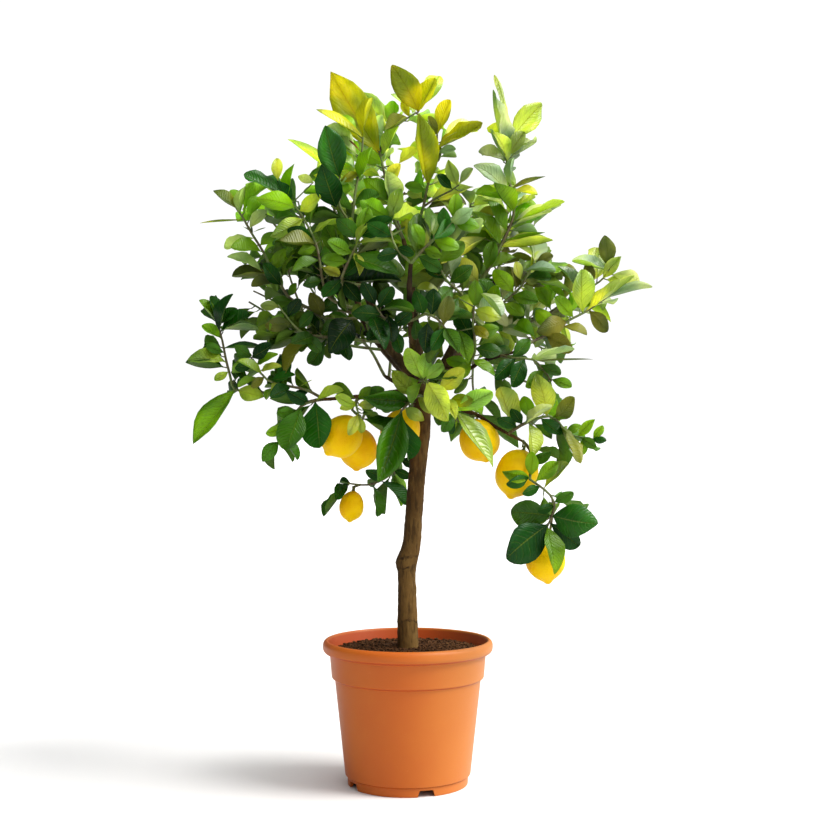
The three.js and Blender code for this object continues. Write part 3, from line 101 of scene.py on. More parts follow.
# [name, [[radius, leaves to fill in, [[across, height, depth], ...]], ...] twigs,
#  [[stalk across, stalk height, tip across, tip height, seen width, tone], ...] leaves]
SHOOTS = [
  ["shoot_top_left", [
    [2.4, 4, [[-85, 690, -50], [-74, 722, -50], [-70, 745, -48], [-68, 765, -46], [-63, 790, -44],
      [-60, 810, -42], [-58, 835, -40]]],
    [1.8, 2, [[-74, 722, -50], [-88, 745, -60], [-91, 765, -62], [-88, 784, -62]]],
  ], [
    [-86, 783, -108, 850, 40, 1], [-93, 745, -112, 800, 35, 0], [-90, 784, -155, 834, 12, 5],
    [-58, 835, -118, 872, 16, 6], [-63, 815, -76, 831, 9, 9], [-64, 790, -88, 778, 14, 6],
    [-58, 835, -48, 887, 20, 6], [-66, 780, -46, 822, 20, 3], [-73, 740, -112, 768, 24, 2],
  ]],
  ["shoot_top_stem", [
    [2.4, 4, [[-6, 704, 8], [-18, 728, 0], [-22, 745, -6], [-28, 775, -12], [-32, 795, -14],
      [-37, 815, -14]]],
    [1.7, 2, [[-37, 815, -14], [-25, 840, -12], [0, 860, -8], [14, 868, -4]]],
  ], [
    [-37, 815, -101, 921, 50, 6], [-32, 812, -12, 850, 20, 4], [-30, 772, -10, 800, 20, 5],
    [-22, 740, -25, 790, 22, 7], [-12, 800, 10, 822, 15, 5], [0, 860, -30, 845, 16, 8],
    [2, 861, -8, 884, 13, 6], [17, 867, -18, 928, 35, 6], [10, 866, -22, 892, 16, 7],
    [14, 868, 36, 912, 22, 6], [-34, 800, -62, 815, 20, 3], [-24, 752, -58, 782, 22, 3],
  ]],
  ["shoot_top_centre", [
    [2.3, 3, [[2, 668, 14], [12, 718, 4], [20, 745, -4], [25, 770, -10], [32, 795, -12], [37, 815, -12],
      [38, 838, -10]]],
    [1.6, 1, [[20, 745, -4], [38, 757, -14], [56, 766, -20], [66, 773, -22]]],
  ], [
    [26, 772, 15, 866, 28, 6], [29, 780, 43, 822, 12, 8], [38, 820, 98, 852, 20, 6],
    [38, 838, 54, 884, 24, 6], [37, 815, 62, 820, 14, 7], [64, 772, 52, 806, 20, 5],
    [58, 767, 38, 786, 16, 1], [30, 750, 85, 772, 25, 5], [66, 773, 84, 795, 14, 7],
    [34, 805, 12, 838, 18, 6], [24, 766, -4, 772, 18, 3], [38, 838, 26, 862, 14, 8],
  ]],
  ["shoot_top_right", [
    [2.8, 6, [[84, 637, -40], [94, 648, -42], [110, 675, -44], [118, 690, -44], [128, 710, -44],
      [137, 735, -42], [135, 760, -38], [130, 785, -34], [128, 806, -32], [133, 832, -30]]],
  ], [
    [128, 812, 107, 896, 28, 7], [133, 832, 172, 878, 32, 4], [130, 808, 151, 842, 22, 5],
    [133, 822, 166, 829, 14, 7], [127, 803, 92, 818, 16, 7], [126, 806, 105, 844, 18, 7],
    [129, 800, 115, 842, 16, 4], [135, 770, 136, 809, 14, 7], [135, 765, 168, 762, 14, 5],
    [132, 832, 112, 916, 9, 5], [134, 768, 178, 785, 10, 8], [136, 722, 203, 752, 14, 4],
    [132, 714, 171, 740, 20, 3], [120, 692, 188, 703, 20, 5], [130, 760, 90, 802, 22, 7],
    [101, 705, 43, 672, 22, 5], [92, 645, 60, 681, 24, 5], [100, 660, 112, 700, 22, 3],
    [120, 695, 80, 742, 26, 3], [112, 680, 76, 712, 24, 3], [128, 712, 104, 752, 22, 3],
    [137, 738, 112, 776, 22, 3], [104, 664, 140, 680, 20, 3],
  ]],
  ["shoot_right_front", [
    [2.2, 4, [[74, 606, -37], [72, 628, -70], [50, 650, -100], [40, 670, -110], [30, 692, -114]]],
  ], [
    [30, 692, -7, 729, 25, 5], [34, 682, -4, 658, 20, 3], [46, 632, 12, 641, 10, 4],
    [40, 672, 72, 700, 26, 3], [54, 647, 84, 668, 24, 2], [30, 692, 48, 728, 18, 1],
    [60, 642, 34, 622, 24, 2],
  ]],
  ["shoot_right_mid", [
    [2.2, 4, [[66, 582, -32], [92, 600, -44], [120, 618, -50], [145, 640, -54], [154, 655, -54],
      [164, 672, -52]]],
  ], [
    [163, 671, 188, 682, 16, 8], [146, 650, 139, 674, 17, 5], [150, 662, 191, 663, 16, 7],
    [152, 652, 186, 654, 14, 2], [150, 646, 163, 626, 14, 4], [148, 640, 177, 642, 14, 6],
    [118, 617, 92, 650, 26, 2], [124, 620, 150, 604, 26, 3], [104, 608, 118, 642, 28, 3],
    [138, 632, 112, 664, 24, 3], [98, 603, 122, 584, 24, 2], [134, 628, 168, 622, 22, 3],
  ]],
  ["shoot_right_high", [
    [2.3, 4, [[58, 566, -27], [90, 580, -22], [118, 586, -14], [150, 593, -8], [178, 605, -8],
      [198, 618, -10], [225, 634, -12], [248, 648, -14], [262, 662, -14]]],
  ], [
    [258, 668, 256, 708, 30, 8], [262, 662, 213, 676, 20, 7], [252, 652, 276, 681, 20, 5],
    [222, 633, 196, 669, 20, 7], [186, 610, 168, 646, 22, 3], [150, 593, 134, 628, 24, 2],
    [205, 622, 236, 618, 18, 3], [166, 600, 196, 588, 18, 2], [240, 643, 232, 672, 16, 8],
  ]],
  ["shoot_right_tip", [
    [2.2, 3, [[158, 569, -64], [175, 577, -58], [190, 584, -54], [207, 597, -50], [228, 608, -46],
      [242, 617, -44], [255, 626, -42]]],
  ], [
    [226, 607, 225, 664, 33, 4], [230, 609, 293, 656, 22, 5], [255, 626, 316, 644, 11, 7],
    [234, 611, 259, 584, 25, 8], [206, 596, 168, 584, 36, 8], [190, 584, 166, 612, 26, 3],
    [178, 578, 214, 560, 26, 8], [215, 601, 190, 628, 22, 3], [198, 590, 232, 580, 16, 8],
    [168, 573, 140, 594, 24, 3],
  ]],
  ["shoot_right_low", [
    [2, 2, [[120, 553, -62], [135, 549, -76], [150, 549, -82], [162, 547, -84], [175, 535, -86],
      [186, 519, -86]]],
  ], [
    [158, 549, 216, 561, 12, 7], [164, 545, 240, 548, 8, 8], [140, 549, 112, 523, 26, 1],
    [170, 540, 198, 528, 18, 2], [176, 533, 152, 512, 20, 3], [186, 519, 172, 494, 22, 3],
    [184, 522, 212, 512, 16, 3], [134, 549, 158, 573, 22, 2], [152, 549, 134, 512, 24, 1],
  ]],
  ["shoot_left_high", [
    [2.6, 4, [[-42, 606, -31], [-75, 600, -50], [-107, 600, -58], [-125, 612, -58], [-145, 622, -56],
      [-156, 630, -54], [-165, 645, -50], [-175, 662, -46], [-188, 688, -40], [-203, 712, -36],
      [-213, 730, -34], [-222, 743, -32]]],
  ], [
    [-222, 743, -252, 766, 13, 8], [-212, 728, -270, 724, 8, 6], [-217, 736, -211, 772, 14, 7],
    [-206, 716, -184, 741, 16, 7], [-203, 711, -184, 718, 9, 7], [-199, 704, -238, 692, 13, 7],
    [-190, 684, -228, 694, 18, 3], [-188, 660, -232, 684, 14, 7], [-170, 655, -228, 657, 13, 8],
    [-166, 646, -203, 644, 14, 8], [-164, 642, -187, 671, 20, 1], [-155, 628, -144, 646, 15, 3],
    [-110, 602, -126, 634, 26, 8], [-118, 606, -92, 622, 24, 2], [-176, 664, -158, 690, 20, 3],
    [-192, 694, -172, 712, 18, 3], [-182, 675, -150, 672, 16, 3], [-136, 618, -164, 606, 22, 2],
    [-146, 623, -178, 622, 18, 3], [-88, 600, -112, 578, 24, 2],
  ]],
  ["shoot_left_upright", [
    [2.3, 5, [[-46, 614, -34], [-78, 616, -62], [-102, 628, -84], [-110, 648, -88], [-113, 668, -86],
      [-120, 700, -78], [-140, 738, -64], [-158, 757, -56]]],
  ], [
    [-158, 757, -212, 788, 15, 1], [-168, 778, -170, 808, 16, 5], [-157, 756, -148, 801, 18, 3],
    [-152, 750, -170, 779, 14, 0], [-122, 776, -142, 785, 16, 7], [-146, 744, -194, 757, 25, 3],
    [-134, 730, -178, 706, 26, 4], [-140, 740, -112, 758, 26, 4], [-122, 706, -156, 716, 18, 1],
    [-118, 696, -166, 702, 18, 8], [-114, 676, -150, 662, 16, 3], [-113, 668, -88, 656, 16, 5],
    [-124, 710, -84, 728, 14, 4], [-115, 682, -84, 694, 26, 2], [-110, 650, -136, 644, 22, 2],
    [-118, 692, -142, 686, 22, 3], [-104, 634, -78, 640, 28, 1],
  ]],
  ["shoot_left_mid", [
    [2.4, 5, [[-28, 569, -23], [-60, 572, -60], [-100, 576, -84], [-132, 580, -88], [-150, 594, -86],
      [-168, 618, -80]]],
  ], [
    [-166, 616, -191, 618, 20, 5], [-150, 594, -185, 592, 24, 8], [-156, 602, -140, 626, 20, 0],
    [-124, 579, -163, 533, 18, 8], [-134, 582, -114, 556, 20, 2], [-112, 577, -142, 560, 16, 3],
    [-72, 574, -97, 556, 28, 1], [-72, 598, -101, 560, 38, 0], [-160, 608, -178, 582, 20, 3],
    [-142, 588, -122, 608, 22, 2], [-86, 575, -76, 546, 26, 1], [-104, 577, -126, 540, 22, 2],
    [-120, 579, -150, 568, 20, 2],
  ]],
  ["shoot_outer_left", [
    [2.3, 1, [[-140, 490, -76], [-160, 496, -72], [-185, 504, -66], [-205, 508, -60], [-224, 508, -56],
      [-231, 530, -52], [-236, 550, -50], [-240, 571, -48], [-246, 592, -46]]],
  ], [
    [-246, 592, -269, 625, 10, 3], [-246, 592, -254, 630, 14, 1], [-243, 585, -231, 631, 22, 0],
    [-242, 582, -206, 608, 16, 1], [-243, 585, -194, 588, 13, 7], [-240, 573, -266, 592, 13, 3],
    [-238, 562, -184, 563, 13, 1], [-234, 543, -285, 550, 18, 4], [-224, 507, -279, 439, 28, 3],
    [-220, 508, -188, 499, 25, 4], [-237, 556, -262, 566, 14, 2], [-232, 532, -250, 520, 18, 4],
    [-246, 592, -222, 614, 16, 1],
  ]],
  ["shoot_left_arm", [
    [2, 2, [[-108, 496, -75], [-132, 508, -88], [-160, 514, -92], [-182, 521, -92], [-196, 538, -90],
      [-203, 550, -86]]],
  ], [
    [-188, 527, -219, 546, 14, 4], [-197, 540, -168, 554, 14, 3], [-192, 532, -164, 538, 13, 5],
    [-198, 542, -224, 536, 16, 1], [-186, 524, -203, 512, 14, 8], [-178, 519, -146, 527, 15, 1],
    [-176, 518, -163, 499, 15, 5], [-142, 511, -124, 521, 9, 4], [-150, 512, -178, 500, 18, 1],
    [-203, 550, -176, 566, 22, 0], [-203, 550, -224, 566, 18, 2], [-128, 506, -150, 496, 20, 0],
    [-166, 515, -152, 548, 22, 1],
  ]],
  ["shoot_lower_left", [
    [2, 1, [[-112, 495, -76], [-124, 493, -96], [-138, 487, -104], [-150, 472, -104], [-160, 455, -102],
      [-167, 441, -98]]],
  ], [
    [-138, 486, -158, 430, 38, 2], [-120, 492, -114, 433, 45, 1], [-167, 441, -189, 416, 22, 2],
    [-164, 446, -142, 418, 14, 2], [-120, 494, -84, 508, 17, 4], [-128, 492, -158, 508, 20, 0],
    [-116, 495, -92, 480, 20, 1], [-158, 458, -184, 452, 16, 3], [-144, 480, -170, 478, 18, 2],
  ]],
  ["shoot_over_lemons", [
    [1.9, 1, [[-56, 500, -61], [-66, 494, -92], [-66, 484, -106], [-63, 474, -110]]],
  ], [
    [-64, 492, -88, 484, 18, 5], [-65, 488, -42, 490, 17, 5], [-63, 476, -60, 452, 14, 4],
    [-64, 478, -77, 450, 16, 5], [-62, 496, -30, 508, 22, 2], [-66, 486, -94, 500, 16, 4],
    [-64, 494, -48, 512, 22, 3],
  ]],
  ["shoot_hanging_leaf", [
    [2.4, 1, [[18, 500, -10], [12, 500, -70], [2, 492, -104], [-9, 480, -116]]],
  ], [
    [-9, 480, -38, 388, 46, 2], [10, 492, -34, 482, 15, 4], [4, 494, -57, 498, 32, 2],
    [10, 500, -21, 530, 24, 4], [12, 499, 34, 480, 20, 5], [-4, 486, 20, 468, 20, 5],
    [8, 498, 26, 520, 22, 5],
  ]],
  ["shoot_front_tuft", [
    [2.4, 1, [[15, 520, -40], [17, 520, -90], [20, 521, -120], [26, 518, -134]]],
    [1.9, 1, [[17, 520, -90], [36, 510, -114], [52, 494, -124], [62, 480, -126], [66, 466, -124]]],
  ], [
    [18, 521, 0, 563, 25, 10], [24, 518, 53, 467, 34, 11], [40, 508, 74, 534, 38, 11],
    [62, 480, 109, 506, 25, 10], [20, 519, 3, 492, 14, 10], [22, 521, 46, 540, 18, 10],
    [36, 509, 26, 486, 18, 5], [60, 482, 44, 454, 18, 2], [62, 480, 112, 408, 28, 12],
    [16, 520, -14, 514, 20, 10], [20, 521, 24, 556, 24, 10], [52, 494, 84, 496, 30, 6],
    [50, 496, 62, 470, 20, 5],
  ]],
  ["shoot_centre_right", [
    [2.3, 5, [[75, 534, -46], [82, 545, -84], [87, 560, -106], [86, 578, -120], [84, 596, -126],
      [86, 616, -126]]],
  ], [
    [86, 552, 61, 583, 30, 4], [86, 570, 64, 608, 24, 1], [84, 592, 104, 574, 18, 6],
    [86, 612, 120, 600, 28, 4], [84, 548, 112, 526, 16, 3], [66, 628, 46, 598, 26, 2],
    [86, 616, 88, 650, 28, 3], [80, 540, 50, 548, 26, 3], [87, 562, 122, 556, 24, 2],
    [86, 580, 118, 588, 22, 3], [82, 546, 62, 520, 24, 3],
  ]],
  ["shoot_centre_left", [
    [2.4, 5, [[-60, 643, -41], [-78, 646, -84], [-86, 650, -124], [-78, 672, -140], [-68, 692, -144],
      [-62, 708, -142]]],
  ], [
    [-86, 646, -8, 650, 32, 0], [-74, 680, -12, 660, 28, 2], [-70, 686, -62, 656, 14, 5],
    [-66, 697, -7, 701, 17, 4], [-62, 708, -20, 728, 25, 1], [-64, 704, -92, 730, 26, 2],
    [-76, 674, -112, 676, 26, 3], [-84, 652, -110, 628, 26, 1], [-84, 648, -62, 622, 28, 1],
    [-62, 708, -52, 744, 24, 3], [-72, 684, -104, 700, 22, 3],
  ]],
  ["shoot_centre_front", [
    [2.2, 3, [[4, 672, -160], [18, 688, -168], [34, 703, -170], [48, 715, -168], [60, 728, -162]]],
    [1.8, 1, [[4, 672, -160], [-14, 690, -164], [-22, 710, -160], [-24, 732, -150]]],
  ], [
    [46, 712, 47, 744, 18, 1], [56, 722, 84, 742, 20, 7], [34, 702, 66, 690, 24, 3],
    [22, 692, 6, 722, 22, 3], [-18, 706, -52, 724, 26, 1], [-24, 732, -60, 752, 24, 3],
    [-24, 732, -8, 768, 24, 4], [60, 728, 62, 762, 22, 3], [12, 682, 44, 664, 22, 2],
    [-10, 686, -40, 680, 22, 1], [60, 728, 92, 718, 22, 3],
  ]],
  ["shoot_centre_low", [
    [2.2, 4, [[4, 596, -126], [22, 606, -142], [38, 600, -150], [48, 588, -152]]],
    [2, 4, [[13, 601, -134], [-10, 594, -138], [-32, 602, -140], [-42, 618, -138]]],
  ], [
    [46, 590, 52, 630, 26, 8], [-20, 588, 4, 610, 22, 1], [48, 588, 30, 560, 26, 1],
    [48, 588, 66, 556, 22, 2], [-36, 604, -72, 608, 26, 1], [-40, 612, -20, 642, 26, 1],
    [-42, 618, -58, 648, 24, 0], [-26, 592, -52, 572, 26, 1], [20, 605, 10, 636, 24, 1],
    [30, 603, 34, 640, 24, 0], [-18, 586, -8, 556, 24, 1], [38, 600, 70, 612, 24, 2],
    [8, 602, 12, 572, 24, 2],
  ]],
  ["shoot_right_lower", [
    [2.2, 3, [[130, 451, -72], [146, 462, -84], [165, 470, -88], [183, 474, -90], [196, 465, -90],
      [206, 452, -88], [222, 447, -86], [240, 444, -82]]],
  ], [
    [180, 474, 168, 528, 30, 4], [192, 469, 216, 498, 26, 8], [204, 454, 224, 462, 14, 3],
    [220, 448, 242, 470, 16, 3], [222, 446, 244, 434, 14, 2], [238, 444, 257, 442, 13, 1],
    [196, 464, 222, 411, 15, 8], [156, 466, 164, 423, 18, 4], [172, 471, 198, 450, 20, 1],
    [148, 463, 134, 484, 16, 1], [142, 459, 116, 472, 18, 1], [150, 464, 186, 486, 18, 7],
    [136, 456, 120, 512, 24, 5], [206, 452, 232, 438, 14, 2], [186, 473, 210, 478, 14, 3],
    [240, 444, 252, 462, 14, 3], [160, 468, 150, 500, 22, 3], [212, 450, 206, 432, 14, 2],
    [228, 446, 226, 424, 12, 3],
  ]],
  ["shoot_right_hanging", [
    [2.2, 2, [[149, 442, -72], [158, 430, -90], [160, 410, -106], [158, 392, -114], [170, 384, -116],
      [184, 372, -116], [190, 358, -114], [186, 344, -112], [180, 330, -110]]],
  ], [
    [158, 394, 122, 402, 20, 3], [159, 396, 162, 428, 18, 3], [164, 388, 194, 414, 20, 3],
    [176, 380, 208, 414, 20, 4], [186, 344, 133, 350, 46, 2], [182, 334, 127, 290, 52, 0],
    [180, 330, 192, 272, 27, 3], [188, 345, 244, 334, 50, 1], [184, 336, 222, 305, 34, 0],
    [156, 396, 128, 386, 18, 1], [189, 362, 214, 376, 18, 2], [172, 383, 148, 374, 18, 1],
    [160, 412, 184, 428, 16, 2], [190, 358, 168, 352, 20, 1],
  ]],
  ["shoot_low_twig", [
    [2.2, 1, [[8, 508, 56], [4, 470, 50], [-4, 434, 42], [-14, 408, 36], [-30, 393, 30], [-52, 385, 24],
      [-78, 387, 18]]],
  ], [
    [-78, 387, -94, 367, 15, 1], [-58, 385, -84, 392, 14, 1], [-46, 387, -38, 344, 12, 2],
    [-36, 390, 0, 361, 16, 1], [-18, 403, 4, 396, 18, 1], [-8, 424, -34, 414, 20, 0],
    [-10, 418, 14, 410, 18, 0], [-28, 395, -54, 404, 18, 1], [-66, 386, -62, 366, 12, 2],
  ]],
  ["shoot_back_top", [
    [2.4, 6, [[-4, 695, 10], [-14, 730, 46], [-22, 775, 60], [-24, 815, 62], [-18, 848, 58]]],
    [1.8, 3, [[-14, 730, 46], [10, 760, 80], [28, 800, 92]]],
  ], []],
  ["shoot_back_top_left", [
    [2.3, 5, [[-80, 688, 138], [-92, 730, 138], [-104, 772, 124], [-110, 800, 112]]],
    [1.8, 3, [[-92, 730, 138], [-62, 760, 130], [-46, 790, 118]]],
  ], []],
  ["shoot_back_left_high", [
    [2.3, 5, [[-74, 655, 131], [-116, 680, 136], [-156, 704, 120], [-186, 738, 96]]],
    [1.8, 3, [[-116, 680, 136], [-134, 720, 150], [-142, 752, 140]]],
  ], []],
  ["shoot_back_left", [
    [2.3, 5, [[-60, 606, 114], [-110, 614, 142], [-158, 618, 150], [-200, 636, 138]]],
    [1.8, 3, [[-110, 614, 142], [-128, 644, 182], [-140, 670, 200]]],
  ], []],
  ["shoot_side_left", [
    [2.4, 6, [[-30, 560, 80], [-78, 566, 70], [-124, 580, 54], [-168, 600, 44], [-206, 622, 34]]],
    [1.8, 3, [[-124, 580, 54], [-148, 640, 36], [-160, 680, 28]]],
  ], []],
  ["shoot_back_low_left", [
    [2.3, 5, [[-30, 526, 150], [-54, 566, 158], [-98, 592, 152], [-138, 594, 136]]],
    [1.8, 3, [[-54, 566, 158], [-70, 596, 186], [-100, 620, 196]]],
  ], []],
  ["shoot_back_centre", [
    [2.3, 5, [[-24, 522, 138], [-20, 560, 190], [-6, 600, 214], [8, 645, 222]]],
    [1.8, 3, [[-20, 560, 190], [-58, 590, 216], [-84, 620, 222]]],
  ], []],
  ["shoot_back_high", [
    [2.3, 5, [[-70, 642, 127], [-50, 684, 172], [-26, 726, 184], [-4, 764, 172]]],
    [1.8, 3, [[-50, 684, 172], [-82, 706, 200], [-100, 736, 200]]],
  ], []],
  ["shoot_back_right_high", [
    [2.3, 5, [[112, 648, 127], [124, 690, 132], [126, 730, 120], [114, 764, 104]]],
    [1.8, 3, [[124, 690, 132], [144, 704, 124], [158, 716, 112]]],
  ], []],
  ["shoot_back_right", [
    [2.3, 5, [[104, 624, 119], [142, 646, 138], [172, 664, 124], [186, 676, 104]]],
    [1.8, 3, [[126, 638, 129], [112, 668, 176], [90, 704, 200]]],
  ], []],
  ["shoot_side_right", [
    [2.4, 6, [[92, 592, 106], [136, 596, 96], [180, 606, 78], [222, 626, 60]]],
    [1.8, 3, [[136, 596, 96], [166, 566, 108], [196, 556, 110]]],
  ], []],
  ["shoot_back_low_right", [
    [2.3, 5, [[66, 555, 78], [106, 534, 104], [148, 520, 116], [186, 510, 108]]],
    [1.8, 3, [[84, 545, 90], [84, 514, 132], [88, 486, 150], [92, 458, 156]]],
  ], []],
  ["shoot_inner_right", [
    [2.2, 5, [[8, 612, 15], [38, 640, 34], [62, 676, 42], [74, 716, 40], [82, 750, 30]]],
    [1.8, 3, [[38, 640, 34], [60, 640, 84], [52, 664, 130]]],
  ], []],
  ["shoot_inner_left", [
    [2.2, 5, [[-48, 620, -35], [-50, 650, 8], [-60, 690, 40], [-72, 726, 52]]],
    [1.8, 3, [[-50, 650, 8], [-90, 660, 20], [-124, 690, 30]]],
  ], []],
]

# name: [centre across, height, depth, radius, half length, nose direction, stalk from the fruit to the wood]
LEMONS = {
  "lemon_left": [-86, 447, -76, 26, 30.5, [-0.62, -0.2, -0.72], [[-72, 482, -66], [-64, 499, -66]]],
  "lemon_left_back": [-64, 431, -14, 25, 28.5, [-0.1, 0.1, -1], [[-58, 472, -28], [-46, 501, -55]]],
  "lemon_centre": [-10, 454, -30, 25.5, 31, [-0.35, -0.15, -0.9], [[-2, 492, -26], [-8, 506, -29]]],
  "lemon_small": [-73, 357, 16, 16.5, 21, [-0.12, -0.1, -1], [[-71, 382, 22], [-60, 386, 22]]],
  "lemon_right": [93, 442, -62, 25.5, 28.5, [0.35, -0.15, -0.92], [[92, 474, -60], [91, 474, -59]]],
  "lemon_low_right": [141, 399, -76, 27, 32.5, [-0.28, -0.1, -0.96], [[148, 434, -74], [150, 440, -72]]],
  "lemon_lowest": [178, 288, -78, 25, 30, [0.12, -0.1, -1], [[183, 324, -82], [189, 350, -108]]],
}

# Leaves that only the looks need, drawn as in SHOOTS: {shoot: leaves}.
MORE_LEAVES = {
  "shoot_centre_left": [[-64, 692, -51, 723, 12, 4], [-84, 652, -60, 676, 20, 1]],
  "shoot_centre_low": [
    [-34, 612, 7, 612, 18, 2], [38, 600, 84, 604, 18, 1], [-42, 618, -60, 598, 22, 1],
    [-46, 604, -30, 564, 24, 1], [-26, 606, -20, 570, 20, 0], [26, 596, 22, 556, 24, 0],
  ],
  "shoot_centre_front": [
    [58, 726, 34, 704, 24, 1], [76, 736, 52, 700, 20, 7], [-16, 692, 8, 684, 16, 1],
    [20, 690, 44, 682, 16, 3],
  ],
  "shoot_right_front": [[34, 668, -3, 660, 12, 4], [50, 650, 24, 668, 18, 1]],
  "shoot_centre_right": [[66, 586, 78, 542, 25, 3], [80, 606, 104, 579, 18, 7], [90, 634, 122, 606, 18, 7]],
  "shoot_top_left": [[-68, 746, -38, 763, 15, 2], [-74, 736, -40, 738, 14, 7]],
  "shoot_right_high": [[156, 598, 122, 638, 24, 7], [118, 586, 156, 576, 14, 7], [205, 622, 184, 642, 10, 3]],
  "shoot_right_mid": [[112, 614, 128, 590, 18, 7], [152, 650, 168, 646, 12, 5]],
  "shoot_top_right": [[134, 716, 186, 742, 14, 7], [124, 700, 178, 712, 9, 3]],
}


class Tone(Enum):
    """The colours that leaves have in the crown, in the order of the numbers in SHOOTS. A drawn leaf's number
    was read off as the leaf looks, so its tone holds its own colour together with painted light and shade.
    """

    BLUE_GREEN = "144814"
    DARK = "205e0a"
    DEEP = "447c0c"
    MID = "76a80e"
    BRIGHT = "a4c036"
    YELLOW_GREEN = "bccc4a"
    OLIVE_YELLOW = "a0a80e"
    GREY_GREEN = "a8c284"
    DULL_OLIVE = "74802a"
    RED_BROWN = "7a3418"
    # Painted light: the next two brighter tones light up the front tuft, which the crown above shades.
    LIME = "c4ea50"
    FRESH = "ccd850"
    SOFT_GREEN = "84a030"


TONES = list(Tone)
NOT_DRAWN = -1


def linear(code: str) -> tuple[float, float, float, float]:
    """Turns a colour code of six hexadecimal digits into linear light.

    Args:
        code: The colour as it is written for a screen.

    Returns:
        Red, green, blue and a whole alpha.
    """
    parts = [int(code[i:i + 2], 16) / 255 for i in (0, 2, 4)]
    return (*[p / 12.92 if p <= 0.04045 else ((p + 0.055) / 1.055) ** 2.4 for p in parts], 1.0)


def seen(place: list[float]) -> np.ndarray:
    """Finds the real place of a point that is given as it looks from the front.

    Args:
        place: [across, height, depth], as it looks.

    Returns:
        The real place.
    """
    across, height, depth = place
    spread = (EYE_DISTANCE + depth) / EYE_DISTANCE
    return np.array([
        EYE_ACROSS + (across - EYE_ACROSS) * spread,
        depth,
        EYE_HEIGHT + (height - EYE_HEIGHT) * spread,
    ])


def looks(points: np.ndarray) -> np.ndarray:
    """Finds how real places look from the front.

    Args:
        points: Rows of real places.

    Returns:
        Rows of [across, height].
    """
    spread = (EYE_DISTANCE + points[:, 1]) / EYE_DISTANCE
    return np.stack([
        EYE_ACROSS + (points[:, 0] - EYE_ACROSS) / spread,
        EYE_HEIGHT + (points[:, 2] - EYE_HEIGHT) / spread,
    ], axis=1)


def unit(vector: np.ndarray) -> np.ndarray:
    """Gives a vector the length one."""
    return vector / np.linalg.norm(vector)


def mix(a: float | np.ndarray, b: float | np.ndarray, t: float) -> float | np.ndarray:
    """Goes the share t of the way from a to b."""
    return a + (b - a) * t


def way_between(value: float, low: float, high: float) -> float:
    """Tells how far a value is on its way from low to high, from 0 to 1."""
    return min(max((value - low) / (high - low), 0.0), 1.0)


def gap(a: np.ndarray, b: np.ndarray) -> float:
    """Measures how far two places are apart."""
    return float(np.linalg.norm(a - b))


ROW = Matrix.Translation(Vector(AXIS)) @ Matrix.Scale(MM, 4)


def to_row(place: np.ndarray | tuple[float, ...]) -> Vector:
    """Turns a place in millimetres from the pot's middle into the frame's metres."""
    return ROW @ Vector(place)


# ---------------------------------------------------------------- where every leaf grows


@dataclass(frozen=True)
class LeafRules:
    """How leaves are shaped in the frame, and how far they keep from each other."""

    camber: float = 0.07
    fold: float = 0.2
    slenderness: float = 0.5
    widest: float = 36
    stalk_from: float = 4
    clearance: float = 2.6
    own_clearance: float = 1
    wood_clearance: float = 3.4
    root_free: float = 9
    root_spread: float = 0.4
    meet_spread: float = 0.15
    joint_inset: float = 0.04
    thinnest: float = 9


RULES = LeafRules()
FINE_RULES = LeafRules(clearance=1.7, own_clearance=0.7, wood_clearance=2.2)
LEANS = [-0.2, -0.45, 0.12, -0.7, 0.35, -0.95, 0.6, 0.85]
ROLLS = [0, 0.4, -0.4]


@dataclass(frozen=True)
class FillRules:
    """How a twig is filled with leaves that no one drew."""

    first_share: float = 0.22
    last_share: float = 0.985
    shortest: float = 44
    longest: float = 74
    shrink: float = 0.95
    pitch: float = 0.85
    droop: float = 0.18
    petiole: float = 8
    turn: float = 2.4
    tries: int = 14
    slenderness: float = 0.5
    spread: float = 0.6
    roll: float = 0.0
    roll_turns: float = 5


FRAME_FILL = FillRules()
DENSE_FILL = FillRules(first_share=0.1, shortest=28, longest=62, pitch=1.0, tries=12, petiole=6,
                       slenderness=0.43, roll=0.8)

# Gaps that show between the leaves from the front: [across, height, radius].
WINDOWS = [
    [-148, 818, 17], [0, 838, 13], [-3, 800, 13], [-8, 775, 13], [70, 792, 17], [98, 806, 9], [122, 788, 9],
    [76, 862, 14], [-186, 702, 13], [-190, 722, 9], [-232, 643, 16], [-203, 630, 18], [-180, 613, 12],
    [-124, 622, 14], [-94, 612, 11], [-152, 642, 12], [-225, 558, 14], [-200, 562, 10], [-245, 527, 10],
    [-120, 550, 13], [-80, 556, 15], [-15, 566, 11], [-178, 540, 11], [-226, 494, 10], [-166, 484, 8],
    [-178, 456, 7], [51, 556, 9], [72, 538, 9], [150, 528, 18], [150, 498, 14], [206, 534, 18],
    [205, 510, 15], [226, 590, 14], [240, 574, 10], [150, 566, 10], [285, 614, 17], [282, 590, 15],
    [196, 696, 12], [40, 430, 20], [265, 466, 18], [-245, 742, 12], [215, 430, 8], [185, 790, 8],
    [300, 660, 9],
]


class Dice:
    """The same run of numbers between 0 and 1 every time, as the frame's own source draws them."""

    FACTOR = 16807
    MODULUS = 2147483647

    def __init__(self, seed: int) -> None:
        """Starts the run."""
        self.state = seed

    def next(self) -> float:
        """Draws the next number."""
        self.state = self.state * self.FACTOR % self.MODULUS
        return self.state / self.MODULUS


@dataclass
class Stem:
    """A piece of wood: its middle line in real places, and its radius at each of them."""

    path: list[np.ndarray]
    radii: list[float]
    drawn: tuple[list[float], ...] = ()
    fill: int = 0
    shoot: int = -1


